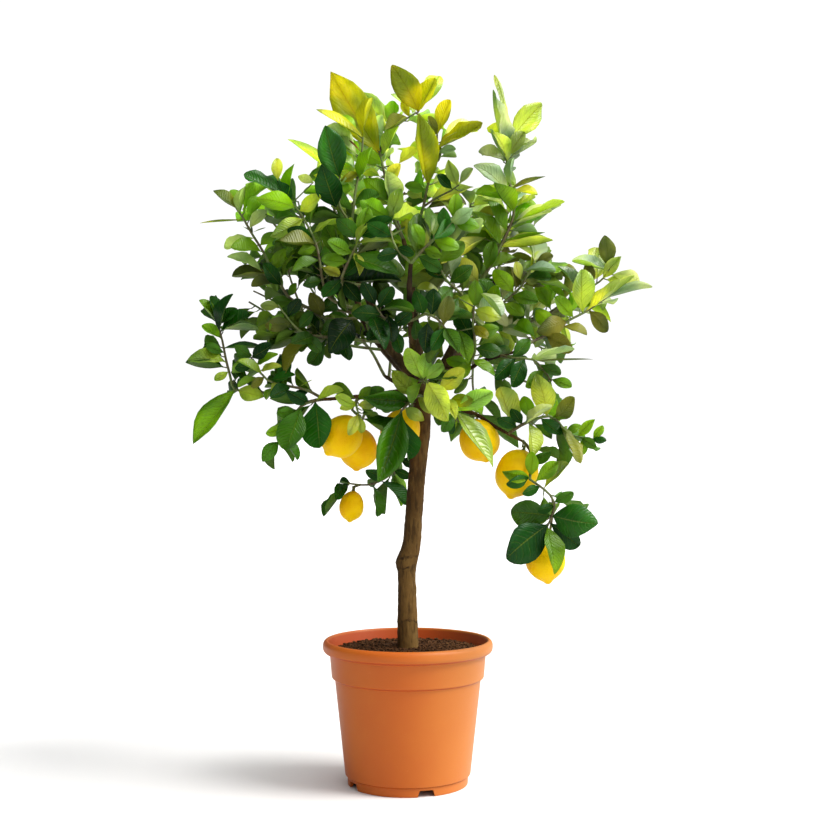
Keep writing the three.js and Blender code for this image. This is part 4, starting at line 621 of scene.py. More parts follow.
@dataclass
class Leaf:
    """A leaf's place: where its stalk leaves the wood, its blade's start, and the way it lies."""

    shoot: int
    root: np.ndarray
    base: np.ndarray
    along: np.ndarray
    normal: np.ndarray
    across: np.ndarray
    length: float
    width: float
    points: np.ndarray | None = None
    tone: int = NOT_DRAWN
    slim: float = 1.0

    def is_drawn(self) -> bool:
        """Tells whether the leaf was drawn, and not filled in."""
        return self.tone != NOT_DRAWN


@dataclass
class LemonPlace:
    """A lemon's middle, size and the way that its nose points."""

    centre: np.ndarray
    radius: float
    half: float
    nose: np.ndarray


def blade_shape(t: np.ndarray) -> np.ndarray:
    """Gives half a blade's width at shares t of its length, for a blade one unit wide."""
    inside = np.clip(t, 0, 1)
    return 0.5 * np.clip(np.sin(math.pi * inside ** 0.85), 0, None) ** 0.8


def blade_height(length: float | np.ndarray, width: float | np.ndarray, t: np.ndarray,
                 y: np.ndarray) -> np.ndarray:
    """Gives how high a blade's face stands over its chord at shares t, y aside from its middle."""
    half = width * blade_shape(t)
    return 4 * RULES.camber * length * t * (1 - t) + RULES.fold * (np.abs(y) - half / 2)


def blade_points(leaf: Leaf, t: np.ndarray | float, y: np.ndarray | float) -> np.ndarray:
    """Finds places on a leaf's face.

    Args:
        leaf: The leaf.
        t: Their shares of its length.
        y: How far aside from its middle they are.

    Returns:
        Rows of real places.
    """
    t, y = np.atleast_1d(t), np.atleast_1d(y)
    lift = blade_height(leaf.length, leaf.width, t, y)
    return (leaf.base + (t * leaf.length)[:, None] * leaf.along + y[:, None] * leaf.across
            + lift[:, None] * leaf.normal)


def make_leaf(shoot: int, root: np.ndarray, base: np.ndarray, tip: np.ndarray, width: float,
              facing: np.ndarray) -> Leaf:
    """Lays a leaf between two places.

    Args:
        shoot: The number of the shoot that it grows on.
        root: Where its stalk leaves the wood.
        base: Where its blade starts.
        tip: Where its blade ends.
        width: The blade's width.
        facing: The way that its face looks, as nearly as the two places allow.

    Returns:
        The leaf, with the places on it that other things are kept away from.
    """
    along = tip - base
    length = float(np.linalg.norm(along))
    along = along / length
    normal = unit(facing - along * facing.dot(along))
    leaf = Leaf(shoot, root, base, along, normal, np.cross(normal, along), length, width)
    rows = math.ceil(length / 6)
    columns = 2 * math.ceil(width / 14)
    t = np.repeat((np.arange(1, rows + 1) - 0.25) / rows, columns + 1)
    share = np.tile(2 * np.arange(columns + 1) / columns - 1, rows)
    points = blade_points(leaf, t, width * blade_shape(t) * share)
    stalk = gap(base, root)
    steps = np.arange(RULES.stalk_from, stalk, RULES.stalk_from)
    if len(steps):
        points = np.vstack([points, root + (steps / stalk)[:, None] * (base - root)])
    leaf.points = points
    return leaf


def touches(points: np.ndarray, base: np.ndarray, along: np.ndarray, across: np.ndarray,
            normal: np.ndarray, length: np.ndarray, width: np.ndarray, clearance: np.ndarray) -> np.ndarray:
    """Tells which points come nearer to a blade than a clearance, or to each of several blades.

    Args:
        points: Rows of places.
        base: Where the blade starts.
        along: The way that it grows.
        across: The way across it.
        normal: The way that it faces.
        length: Its length.
        width: Its width.
        clearance: How far the points have to keep away.

    Returns:
        True for each point that is too near.
    """
    offset = points - base
    x = (offset * along).sum(-1)
    y = (offset * across).sum(-1)
    z = (offset * normal).sum(-1)
    t = np.clip(x / length, 0.02, 0.98)
    near = (x >= -clearance) & (x <= length + clearance)
    near &= np.abs(y) <= width * blade_shape(t) + clearance
    return near & (np.abs(z - blade_height(length, width, t, y)) < clearance)


class Crown:
    """All that is in the crown so far, so that a new leaf can be kept clear of it."""

    MOST = 4000
    WOOD_STEP = 5
    LEAF_REACH = 16
    NOSE_ROOM = 6
    SIDE_ROOM = 3

    def __init__(self, stems: list[Stem], lemons: list[LemonPlace]) -> None:
        """Takes in the wood and the fruit.

        Args:
            stems: Every piece of wood.
            lemons: Every lemon.
        """
        places, radii, shoots = [], [], []
        for stem in stems:
            for a, b, thick, thin in zip(stem.path, stem.path[1:], stem.radii, stem.radii[1:]):
                steps = math.ceil(gap(a, b) / self.WOOD_STEP)
                for k in range(steps + 1):
                    places.append(mix(a, b, k / steps))
                    radii.append(mix(thick, thin, k / steps))
                    shoots.append(stem.shoot)
        self.knots = np.array(places)
        self.knot_radii = np.array(radii)
        self.knot_shoots = np.array(shoots)
        self.lemons = lemons
        self.leaves: list[Leaf] = []
        self.vectors = np.zeros((5, self.MOST, 3))
        self.sizes = np.zeros((3, self.MOST))

    def add(self, leaf: Leaf) -> None:
        """Keeps a leaf.

        Args:
            leaf: The leaf.
        """
        n = len(self.leaves)
        middle = blade_points(leaf, 0.5, 0)[0]
        self.vectors[:, n] = leaf.base, leaf.along, leaf.across, leaf.normal, middle
        self.sizes[:, n] = leaf.length, leaf.width, leaf.shoot
        self.leaves.append(leaf)

    def is_free(self, leaf: Leaf, rules: LeafRules = RULES) -> bool:
        """Tells whether a leaf is clear of all wood, fruit and leaves that are there already.

        Args:
            leaf: The leaf to try.
            rules: How far it has to keep away.

        Returns:
            True if it cuts nothing.
        """
        middle = blade_points(leaf, 0.5, 0)[0]
        reach = leaf.length / 2 + self.LEAF_REACH
        root_free = rules.root_free + rules.root_spread * leaf.width
        near = np.linalg.norm(self.knots - middle, axis=1) <= reach + self.knot_radii
        near &= ~((self.knot_shoots == leaf.shoot)
                  & (np.linalg.norm(self.knots - leaf.root, axis=1) < root_free))
        if near.any() and touches(self.knots[near], leaf.base, leaf.along, leaf.across, leaf.normal,
                                  leaf.length, leaf.width,
                                  self.knot_radii[near] + rules.wood_clearance).any():
            return False
        for lemon in self.lemons:
            if gap(lemon.centre, middle) < reach + lemon.half and self.in_lemon(leaf.points, lemon):
                return False
        return not self.meets_leaves(leaf, middle, reach, rules)

    def in_lemon(self, points: np.ndarray, lemon: LemonPlace) -> bool:
        """Tells whether any point is in a lemon or right beside it.

        Args:
            points: Rows of places.
            lemon: The lemon.

        Returns:
            True if one is.
        """
        offset = points - lemon.centre
        x = offset @ lemon.nose
        aside = (offset * offset).sum(1) - x * x
        half, radius = lemon.half + self.NOSE_ROOM, lemon.radius + self.SIDE_ROOM
        return bool(((x / half) ** 2 + aside / radius ** 2 < 1).any())

    def meets_leaves(self, leaf: Leaf, middle: np.ndarray, reach: float, rules: LeafRules) -> bool:
        """Tells whether a leaf comes too near another. Those of one shoot may meet at their stems.

        Args:
            leaf: The leaf to try.
            middle: Its blade's middle.
            reach: How far from its middle it can meet anything.
            rules: How far it has to keep away.

        Returns:
            True if it does.
        """
        n = len(self.leaves)
        if not n:
            return False
        base, along, across, normal, middles = self.vectors[:, :n]
        length, width, shoot = self.sizes[:, :n]
        near = np.nonzero(np.linalg.norm(middles - middle, axis=1) <= reach + length / 2)[0]
        if not len(near):
            return False
        own = shoot[near] == leaf.shoot
        clear = np.where(own, rules.own_clearance, rules.clearance)
        meeting = np.where(own, rules.root_free + rules.meet_spread * (leaf.width + width[near]), 0)
        rows = [a[near][:, None] for a in (base, along, across, normal, length, width)]
        hit = touches(leaf.points[None], *rows, clear[:, None])
        hit &= np.linalg.norm(leaf.points[None] - base[near][:, None], axis=2) > meeting[:, None]
        if hit.any():
            return True
        sets = [self.leaves[i].points for i in near]
        counts = [len(s) for s in sets]
        points = np.vstack(sets)
        hit = touches(points, leaf.base, leaf.along, leaf.across, leaf.normal, leaf.length,
                      leaf.width, np.repeat(clear, counts))
        hit &= np.linalg.norm(points - leaf.base, axis=1) > np.repeat(meeting, counts)
        return bool(hit.any())


def nearest_on_path(point: np.ndarray, path: list[np.ndarray]) -> np.ndarray:
    """Finds the place on a line of points that is nearest to a point.

    Args:
        point: The point.
        path: The line.

    Returns:
        The nearest place.
    """
    best = path[0]
    for a, b in zip(path, path[1:]):
        along = b - a
        place = a + along * way_between((point - a).dot(along), 0, along.dot(along))
        if gap(place, point) < gap(best, point):
            best = place
    return best


def rooted(path: list[np.ndarray], carriers: list[list[np.ndarray]]) -> list[np.ndarray]:
    """Begins a twig's path on the middle line of the wood that carries it."""
    places = [nearest_on_path(path[0], carrier) for carrier in carriers]
    return [min(places, key=lambda place: gap(place, path[0])), *path[1:]]


def tapered(count: int, first: float, last: float) -> list[float]:
    """Gives radii that go evenly from the first to the last."""
    return [mix(first, last, i / (count - 1)) for i in range(count)]


class Growth:
    """Works out where all wood, fruit and leaves are, in the same way as the frame's own source."""

    TWIG_TAPER = 0.55
    SEED = 20241
    DENSE_SEED = 77
    DENSE_STEP = 15
    WINDOW_SHARE = 0.12
    HIDING_SHARE = 0.22
    INSIDE_SHARE = 0.9
    LEMON_ROOM = 2
    LEAST_SLIM = 0.3
    SLIM_SHARE = 0.8
    EDGE_ON_SLIM = 0.22
    STALK_RADIUS = 2.0
    CELL = 4.0
    FIELD = 200
    FIELD_MIDDLE = (0, 600)

    def __init__(self) -> None:
        """Grows the wood first, then the drawn leaves, and then those that fill the crown."""
        self.trunk = Stem([seen([a, h, d]) for h, a, d, _ in TRUNK], [radius for *_, radius in TRUNK])
        self.limbs = {}
        for name, (first, last, points) in LIMBS.items():
            path = [seen(p) for p in points]
            self.limbs[name] = Stem(path, tapered(len(path), first, last))
        self.twigs = [self.grow_twigs(rows, i) for i, (_, rows, _) in enumerate(SHOOTS)]
        self.lemons = {
            name: LemonPlace(seen([a, h, d]), radius, half, unit(np.array(nose, float)))
            for name, (a, h, d, radius, half, nose, _) in LEMONS.items()
        }
        stalks = [Stem([seen(point) for point in hung], [self.STALK_RADIUS] * len(hung))
                  for *_, hung in LEMONS.values()]
        twigs = [twig for shoot in self.twigs for twig in shoot]
        self.crown = Crown([self.trunk, *self.limbs.values(), *twigs, *stalks], list(self.lemons.values()))
        self.leaves: list[list[Leaf]] = [[] for _ in SHOOTS]
        self.windows = np.array(WINDOWS, float)
        self.draw_leaves({name: rows for name, _, rows in SHOOTS}, RULES)
        self.fill_leaves()
        log.info("leaves of the frame: %d", len(self.crown.leaves))
        self.draw_leaves(MORE_LEAVES, FINE_RULES)
        self.find_drawn()
        for leaves in self.leaves:
            leaves[:] = [leaf for leaf in leaves
                         if leaf.is_drawn() or not (self.in_window(leaf) or self.hides_drawn(leaf))]
        self.fill_densely()
        log.info("leaves in all: %d", len(self.crown.leaves))

    def grow_twigs(self, rows: list, shoot: int) -> list[Stem]:
        """Grows one shoot's twigs, the first on a limb and the others on the twigs before them.

        Args:
            rows: The twigs as they are drawn in SHOOTS.
            shoot: The shoot's number.

        Returns:
            The twigs.
        """
        twigs: list[Stem] = []
        for radius, fill, points in rows:
            carriers = [t.path for t in twigs] if twigs else [limb.path for limb in self.limbs.values()]
            path = rooted([seen(p) for p in points], carriers)
            radii = tapered(len(path), radius, radius * self.TWIG_TAPER)
            twigs.append(Stem(path, radii, tuple(points), fill, shoot))
        return twigs

    def keep(self, leaf: Leaf) -> None:
        """Adds a leaf to the crown and to its shoot."""
        self.crown.add(leaf)
        self.leaves[leaf.shoot].append(leaf)

    def draw_leaves(self, rows: dict[str, list], rules: LeafRules) -> None:
        """Places leaves that are drawn, shoot by shoot.

        Args:
            rows: The leaves of each shoot, by its name.
            rules: How far they keep from each other.
        """
        for i, (name, _, _) in enumerate(SHOOTS):
            for row in rows.get(name, ()):
                leaf = self.drawn_leaf(row, i, rules)
                if leaf:
                    leaf.tone = row[-1]
                    self.keep(leaf)
                else:
                    log.info("no room on %s for %s", name, row)

    def drawn_root(self, shoot: int, across: float, height: float) -> tuple[float, float, np.ndarray]:
        """Finds the place on a shoot's twigs that looks nearest to where a leaf is drawn.

        Args:
            shoot: The shoot's number.
            across: How far across the leaf's stalk is drawn.
            height: How high.

        Returns:
            How far off the place looks, its depth, and its real place.
        """
        target = np.array([across, height], float)
        best = (math.inf, 0.0, target)
        for twig in self.twigs[shoot]:
            for i in range(len(twig.drawn) - 1):
                a, b = np.array(twig.drawn[i], float), np.array(twig.drawn[i + 1], float)
                run = (b - a)[:2]
                offset = target - a[:2]
                t = min(max(offset.dot(run) / run.dot(run), RULES.joint_inset), 1 - RULES.joint_inset)
                away = float(np.linalg.norm(offset - run * t))
                if away < best[0] - 1e-9:
                    best = (away, mix(a[2], b[2], t), mix(twig.path[i], twig.path[i + 1], t))
        return best

    def drawn_leaf(self, row: list, shoot: int, rules: LeafRules) -> Leaf | None:
        """Places a leaf as it is drawn, leaning towards or away from the viewer until it is free.

        Args:
            row: The leaf as it is drawn in SHOOTS.
            shoot: The shoot's number.
            rules: How far it keeps from others.

        Returns:
            The leaf, or None if it finds no room.
        """
        across, height, tip_across, tip_height, seen_width, _ = row
        away, depth, place = self.drawn_root(shoot, across, height)
        base = place if away < RULES.stalk_from else seen([across, height, depth])
        run = math.hypot(tip_across - across, tip_height - height)
        for roll in ROLLS:
            for lean in LEANS:
                tip = seen([tip_across, tip_height, depth + lean * run])
                natural = max(seen_width, min(RULES.slenderness * gap(base, tip), RULES.widest))
                facing = self.facing_for(unit(tip - base), seen_width / natural, roll)
                leaf = make_leaf(shoot, place, base, tip, natural, facing)
                if self.crown.is_free(leaf, rules):
                    if seen_width > RULES.thinnest:
                        leaf.slim = min(1.0, self.LEAST_SLIM + self.SLIM_SHARE * seen_width / natural)
                    else:
                        leaf.slim = self.EDGE_ON_SLIM
                    return leaf
        return None

    @staticmethod
    def facing_for(along: np.ndarray, share: float, roll: float) -> np.ndarray:
        """Finds which way a leaf faces when it shows only a share of its width.

        Args:
            along: The way that it grows.
            share: The share of its width that shows.
            roll: How much further it is turned.

        Returns:
            The way that it faces.
        """
        viewer = unit(np.array([0.0, -1.0, 0.0]) + along * along[1])
        edge = np.cross(along, viewer)
        if edge[2] < 0:
            edge = -edge
        turn = math.acos(min(share, 1)) + roll
        return viewer * math.cos(turn) + edge * math.sin(turn)

    def fill_leaves(self) -> None:
        """Fills each twig in a spiral, as the frame does."""
        dice = Dice(self.SEED)
        for i, (_, _, drawn) in enumerate(SHOOTS):
            for twig in self.twigs[i]:
                for k in range(twig.fill):
                    share = mix(FRAME_FILL.first_share, FRAME_FILL.last_share, (k + 1) / twig.fill)
                    size = mix(FRAME_FILL.shortest, FRAME_FILL.longest, dice.next())
                    start = 2 * math.pi * dice.next()
                    self.fill_one(twig, share, size, start, k, bool(drawn), FRAME_FILL, RULES)

    def fill_one(self, twig: Stem, share: float, size: float, start: float, k: int, drawn: bool,
                 fill: FillRules, rules: LeafRules) -> None:
        """Tries one leaf at a share of a twig, turning it on and making it smaller until it is free.

        Args:
            twig: The twig.
            share: The share of its length where the leaf grows.
            size: The leaf's first length.
            start: Its first turn around the twig.
            k: Which leaf of the twig it is.
            drawn: Whether other leaves of the shoot are drawn, so that it grows away from the viewer.
            fill: How the twig is filled.
            rules: How far it keeps from others.
        """
        share *= len(twig.path) - 1
        step = min(int(share), len(twig.path) - 2)
        root = mix(twig.path[step], twig.path[step + 1], share - step)
        stem = unit(twig.path[step + 1] - twig.path[step])
        for attempt in range(fill.tries):
            angle = start + fill.turn * (k + attempt)
            leaf = self.fill_leaf(twig.shoot, root, stem, angle, size * fill.shrink ** attempt, drawn, fill)
            if self.crown.is_free(leaf, rules) and (fill is FRAME_FILL or self.hidden_enough(leaf)):
                self.keep(leaf)
                return

    @staticmethod
    def fill_leaf(shoot: int, root: np.ndarray, stem: np.ndarray, angle: float, size: float, drawn: bool,
                  fill: FillRules) -> Leaf:
        """Lays a leaf that stands off a stem at an angle.

        Args:
            shoot: The shoot's number.
            root: Where the leaf grows.
            stem: The way that the stem grows there.
            angle: How far round the stem the leaf is.
            size: Its length.
            drawn: Whether it has to grow away from the viewer.
            fill: How the twig is filled.

        Returns:
            The leaf.
        """
        side = unit(np.array([-stem[1], stem[0], 0.0]))
        over = np.cross(stem, side)
        out = side * math.cos(angle) + over * math.sin(angle)
        along = stem * math.cos(fill.pitch) + out * math.sin(fill.pitch)
        along[2] -= fill.droop
        if drawn and along[1] < 0:
            along[1] = -along[1]
        along = unit(along)
        base = root + along * fill.petiole
        away = unit(np.array([base[0], base[1], 0.0]))
        roll = fill.roll * math.sin(fill.roll_turns * angle)
        facing = np.array([0.0, 0.0, 1.0]) + away * fill.spread + side * roll
        return make_leaf(shoot, root, base, base + along * size, size * fill.slenderness, facing)

    # ------------------------------------------------------------ leaves that only the looks need

    def in_window(self, leaf: Leaf) -> bool:
        """Tells whether a leaf would show in one of the gaps that the crown has from the front.

        Args:
            leaf: The leaf.

        Returns:
            True if more than a small share of it would.
        """
        flat = looks(leaf.points)
        gaps = np.linalg.norm(flat[:, None] - self.windows[None, :, :2], axis=2) < self.windows[:, 2]
        return bool(gaps.any(1).mean() > self.WINDOW_SHARE)

    def cells(self, points: np.ndarray) -> np.ndarray:
        """Finds the cells of the view from the front that points fall in.

        Args:
            points: Rows of real places.

        Returns:
            Rows of two numbers, the cells'.
        """
        flat = (looks(points) - self.FIELD_MIDDLE) / self.CELL + self.FIELD / 2
        return np.clip(flat.astype(int), 0, self.FIELD - 1)

    def find_drawn(self) -> None:
        """Notes how near to the viewer the drawn leaves are in each cell of the view."""
        self.nearest = np.full((self.FIELD, self.FIELD), -np.inf)
        for leaf in self.crown.leaves:
            if leaf.is_drawn():
                for (i, j), depth in zip(self.cells(leaf.points), leaf.points[:, 1]):
                    known = self.nearest[i, j]
                    self.nearest[i, j] = depth if known == -np.inf else min(known, depth)

    def hides_drawn(self, leaf: Leaf) -> bool:
        """Tells whether a leaf stands in front of the ones that are drawn."""
        nearest = self.nearest[tuple(self.cells(leaf.points).T)]
        return bool((leaf.points[:, 1] < nearest).mean() > self.HIDING_SHARE)

    def hidden_enough(self, leaf: Leaf) -> bool:
        """Tells whether a leaf stays inside the crown's outline and in front of no lemon.

        Args:
            leaf: The leaf.

        Returns:
            True if it does.
        """
        covered = self.cover[tuple(self.cells(leaf.points).T)].mean()
        if covered < self.INSIDE_SHARE or self.in_window(leaf) or self.hides_drawn(leaf):
            return False
        flat = looks(leaf.points)
        for lemon in self.crown.lemons:
            away = np.linalg.norm(flat - looks(lemon.centre[None]), axis=1)
            if leaf.base[1] < lemon.centre[1] and (away < lemon.half + self.LEMON_ROOM).any():
                return False
        return True

    def fill_densely(self) -> None:
        """Adds the fine leaves that thicken the crown inside the outline that it has."""
        self.cover = np.zeros((self.FIELD, self.FIELD), bool)
        around = [(dx, dy) for dx in (-1, 0, 1) for dy in (-1, 0, 1)]
        for leaf in self.crown.leaves:
            for step in around:
                cells = np.clip(self.cells(leaf.points) + step, 0, self.FIELD - 1)
                self.cover[tuple(cells.T)] = True
        dice = Dice(self.DENSE_SEED)
        for i, (_, _, drawn) in enumerate(SHOOTS):
            for twig in self.twigs[i]:
                length = sum(gap(a, b) for a, b in zip(twig.path, twig.path[1:]))
                count = round(length / self.DENSE_STEP)
                for k in range(count):
                    share = mix(DENSE_FILL.first_share, DENSE_FILL.last_share, (k + dice.next()) / count)
                    size = mix(DENSE_FILL.shortest, DENSE_FILL.longest, dice.next())
                    start = 2 * math.pi * dice.next()
                    self.fill_one(twig, share, size, start, k, bool(drawn), DENSE_FILL, FINE_RULES)


# ---------------------------------------------------------------- handwork


class Bench:
    """The steps of handwork that every piece is made with."""

    @staticmethod
    def alone(piece: bpy.types.Object) -> None:
        """Selects one piece and nothing else.

        Args:
            piece: The piece.
        """
        bpy.ops.object.select_all(action="DESELECT")
        piece.select_set(True)
        bpy.context.view_layer.objects.active = piece

    @staticmethod
    @contextmanager
    def editing(piece: bpy.types.Object) -> Iterator[None]:
        """Opens a piece in edit mode with all of it selected, and closes it at the end.

        Args:
            piece: The piece.
        """
        Bench.alone(piece)
        bpy.ops.object.mode_set(mode="EDIT")
        bpy.ops.mesh.select_all(action="SELECT")
        yield
        bpy.ops.object.mode_set(mode="OBJECT")

    @staticmethod
    def named(name: str) -> bpy.types.Object:
        """Names the piece that was made last, and settles its place into its mesh.

        Args:
            name: The name of the piece and of its mesh.

        Returns:
            The piece.
        """
        piece = bpy.context.active_object
        piece.name = name
        piece.data.name = name
        bpy.ops.object.transform_apply(location=True, rotation=True, scale=True)
        return piece

    @staticmethod
    def pick(piece: bpy.types.Object, wanted: Callable[[Vector], bool]) -> None:
        """Selects, in edit mode, the vertices whose places pass a test.

        Args:
            piece: The piece that is being edited.
            wanted: The test of a vertex's place.
        """
        mesh = bmesh.from_edit_mesh(piece.data)
        for part in (*mesh.faces, *mesh.edges):
            part.select = False
        for vertex in mesh.verts:
            vertex.select = bool(wanted(vertex.co))
        mesh.select_flush_mode()
        bmesh.update_edit_mesh(piece.data)

    @staticmethod
    def modified(piece: bpy.types.Object, kind: str, **settings) -> None:
        """Puts a modifier on a piece and applies it.

        Args:
            piece: The piece.
            kind: The modifier's kind.
            **settings: Its settings.
        """
        Bench.alone(piece)
        modifier = piece.modifiers.new(kind.title(), kind)
        for key, value in settings.items():
            setattr(modifier, key, value)
        bpy.ops.object.modifier_apply(modifier=modifier.name)

    @staticmethod
    def roughened(piece: bpy.types.Object, name: str, grain: float, depth: int, **settings) -> None:
        """Pushes a piece's surface in and out by a cloudy pattern.

        Args:
            piece: The piece.
            name: The pattern's name.
            grain: How large its clouds are, in metres.
            depth: How many finer layers it has.
            **settings: The settings of the displacement.
        """
        clouds = bpy.data.textures.new(name, "CLOUDS")
        clouds.noise_scale = grain
        clouds.noise_depth = depth
        Bench.modified(piece, "DISPLACE", texture=clouds, texture_coords="LOCAL", **settings)

    @staticmethod
    def outwards(piece: bpy.types.Object, merge: float) -> None:
        """Merges doubled vertices and turns all faces outwards.

        Args:
            piece: The piece.
            merge: How near two vertices are that become one, in metres.
        """
        with Bench.editing(piece):
            bpy.ops.mesh.remove_doubles(threshold=merge)
            bpy.ops.mesh.normals_make_consistent(inside=False)

    @staticmethod
    def turned(name: str, profile: list[tuple[float, float]], sides: int) -> bpy.types.Object:
        """Makes a round piece by extruding a ring along a profile, with both ends closed.

        Args:
            name: The piece's name.
            profile: [radius, height] in millimetres, from one end on the axis to the other.
            sides: How many sides the ring has.

        Returns:
            The piece, standing on the row's own floor around the pot's middle.
        """
        rings = [(max(radius, POINT), height) for radius, height in profile]
        first, bottom = rings[0]
        bpy.ops.mesh.primitive_circle_add(
            vertices=sides, radius=first * MM, location=(0, 0, bottom * MM), fill_type="NGON")
        piece = Bench.named(name)
        with Bench.editing(piece):
            bpy.ops.mesh.delete(type="ONLY_FACE")
            bpy.ops.mesh.select_all(action="SELECT")
            for (r0, z0), (r1, z1) in zip(rings, rings[1:]):
                bpy.ops.mesh.extrude_edges_move(TRANSFORM_OT_translate={"value": (0, 0, (z1 - z0) * MM)})
                scale = r1 / r0
                bpy.ops.transform.resize(value=(scale, scale, 1), center_override=(0, 0, z1 * MM))
            bpy.ops.mesh.merge(type="CENTER")
            Bench.pick(piece, lambda co: (abs(co.z - bottom * MM) < 1e-7
                                          and math.hypot(co.x, co.y) < 1.2 * POINT * MM))
            bpy.ops.mesh.merge(type="CENTER")
        Bench.outwards(piece, 1e-6)
        bpy.ops.object.shade_smooth()
        return piece

    @staticmethod
    def joined(pieces: list[bpy.types.Object], name: str) -> bpy.types.Object:
        """Joins pieces into the first of them.

        Args:
            pieces: The pieces.
            name: The name of what they become.

        Returns:
            The one piece.
        """
        Bench.alone(pieces[0])
        for piece in pieces[1:]:
            piece.select_set(True)
        bpy.ops.object.join()
        pieces[0].name = name
        pieces[0].data.name = name
        return pieces[0]

    @staticmethod
    def copied(mesh: bpy.types.Mesh, place: Matrix) -> bpy.types.Object:
        """Copies a mesh, with its own data, into a place.

        Args:
            mesh: The pattern.
            place: The place, turn and size of the copy.

        Returns:
            The copy.
        """
        own = mesh.copy()
        own.transform(place)
        copy = bpy.data.objects.new(mesh.name, own)
        bpy.context.collection.objects.link(copy)
        return copy

    @staticmethod
    def kept(piece: bpy.types.Object) -> bpy.types.Mesh:
        """Puts a finished pattern piece aside.

        Args:
            piece: The piece.

        Returns:
            Its mesh, which is all that is kept of it.
        """
        mesh = piece.data
        bpy.data.objects.remove(piece)
        return mesh

    @staticmethod
    def rounded(corners: list[tuple[float, float, float]], steps: int = 4) -> list[tuple[float, float]]:
        """Rounds the corners of a profile.

        Args:
            corners: [radius, height, rounding] in millimetres.
            steps: How many points each rounded corner has.

        Returns:
            The profile's points.
        """
        points: list[tuple[float, float]] = []
        for i, (r, z, bend) in enumerate(corners):
            if bend <= 0 or i in (0, len(corners) - 1):
                points.append((r, z))
                continue
            here = np.array([r, z], float)
            before = np.array(corners[i - 1][:2], float) - here
            after = np.array(corners[i + 1][:2], float) - here
            start = here + unit(before) * min(bend, np.linalg.norm(before) * 0.45)
            end = here + unit(after) * min(bend, np.linalg.norm(after) * 0.45)
            for k in range(steps + 1):
                t = k / steps
                place = start * (1 - t) ** 2 + here * 2 * t * (1 - t) + end * t * t
                points.append((float(place[0]), float(place[1])))
        return points


def smooth_path(path: list[np.ndarray], radii: list[float], step: float) -> list[tuple[np.ndarray, float]]:
    """Runs a smooth curve through a path.

    Args:
        path: The points to pass through.
        radii: The radius at each point.
        step: About how far apart the curve's own points are.

    Returns:
        Points with their radii.
    """
    ends = [2 * path[0] - path[1], *path, 2 * path[-1] - path[-2]]
    made = []
    for i in range(len(path) - 1):
        p0, p1, p2, p3 = ends[i:i + 4]
        count = max(1, round(gap(p1, p2) / step))
        for k in range(count):
            t = k / count
            place = 0.5 * (2 * p1 + (p2 - p0) * t + (2 * p0 - 5 * p1 + 4 * p2 - p3) * t ** 2
                           + (3 * p1 - p0 - 3 * p2 + p3) * t ** 3)
            made.append((place, mix(radii[i], radii[i + 1], t)))
    return [*made, (path[-1], radii[-1])]


def rods(name: str, lines: list[list[tuple[np.ndarray, float]]], rounding: int) -> bpy.types.Object:
    """Makes round rods along lines of points.

    Args:
        name: The piece's name.
        lines: For each rod its points with their radii, in millimetres.
        rounding: How round a rod is; 1 gives six sides.

    Returns:
        One mesh with all the rods.
    """
    curve = bpy.data.curves.new(name, "CURVE")
    curve.dimensions = "3D"
    curve.bevel_depth = MM
    curve.bevel_resolution = rounding
    curve.use_fill_caps = True
    for line in lines:
        spline = curve.splines.new("POLY")
        spline.points.add(len(line) - 1)
        for point, (place, radius) in zip(spline.points, line):
            point.co = (*to_row(place), 1)
            point.radius = radius
        spline.use_smooth = True
    piece = bpy.data.objects.new(name, curve)
    bpy.context.collection.objects.link(piece)
    Bench.alone(piece)
    bpy.ops.object.convert(target="MESH")
    return bpy.context.active_object


def laid_along(x: np.ndarray, y: np.ndarray, z: np.ndarray, origin: np.ndarray) -> Matrix:
    """Finds the move that lays a pattern into the crown.

    Args:
        x: Where the pattern's first axis goes, as long as the pattern becomes.
        y: Where its second axis goes.
        z: Where its third axis goes.
        origin: Where its origin goes, in millimetres.

    Returns:
        The move, into the frame's metres.
    """
    columns = np.stack([x, y, z, origin], axis=1)
    return ROW @ Matrix([*map(tuple, columns), (0, 0, 0, 1)])


# ---------------------------------------------------------------- finishes


class Value:
    """A number or a colour on its way through a graph's nodes, worked on with plain signs."""

    def __init__(self, graph: "Graph", socket: bpy.types.NodeSocket) -> None:
        """Holds an output of one of the graph's nodes."""
        self.graph = graph
        self.socket = socket

    def __add__(self, other: "Value | float") -> "Value":
        """Adds a number."""
        return self.graph.sum("ADD", self, other)

    def __sub__(self, other: "Value | float") -> "Value":
        """Takes a number away."""
        return self.graph.sum("SUBTRACT", self, other)

    def __rsub__(self, other: float) -> "Value":
        """Takes this away from a number."""
        return self.graph.sum("SUBTRACT", other, self)

    def __mul__(self, other: "Value | float") -> "Value":
        """Multiplies by a number."""
        return self.graph.sum("MULTIPLY", self, other)

    def __truediv__(self, other: "Value | float") -> "Value":
        """Divides by a number."""
        return self.graph.sum("DIVIDE", self, other)

    def __pow__(self, other: float) -> "Value":
        """Raises to a power."""
        return self.graph.sum("POWER", self, other)

    def __abs__(self) -> "Value":
        """Drops the sign."""
        return self.graph.sum("ABSOLUTE", self)

    def fraction(self) -> "Value":
        """Keeps what is behind the point."""
        return self.graph.sum("FRACT", self)

    def clamped(self) -> "Value":
        """Keeps the sum that was worked out last between 0 and 1."""
        self.socket.node.use_clamp = True
        return self


Colour = Value | tuple[float, ...] | str


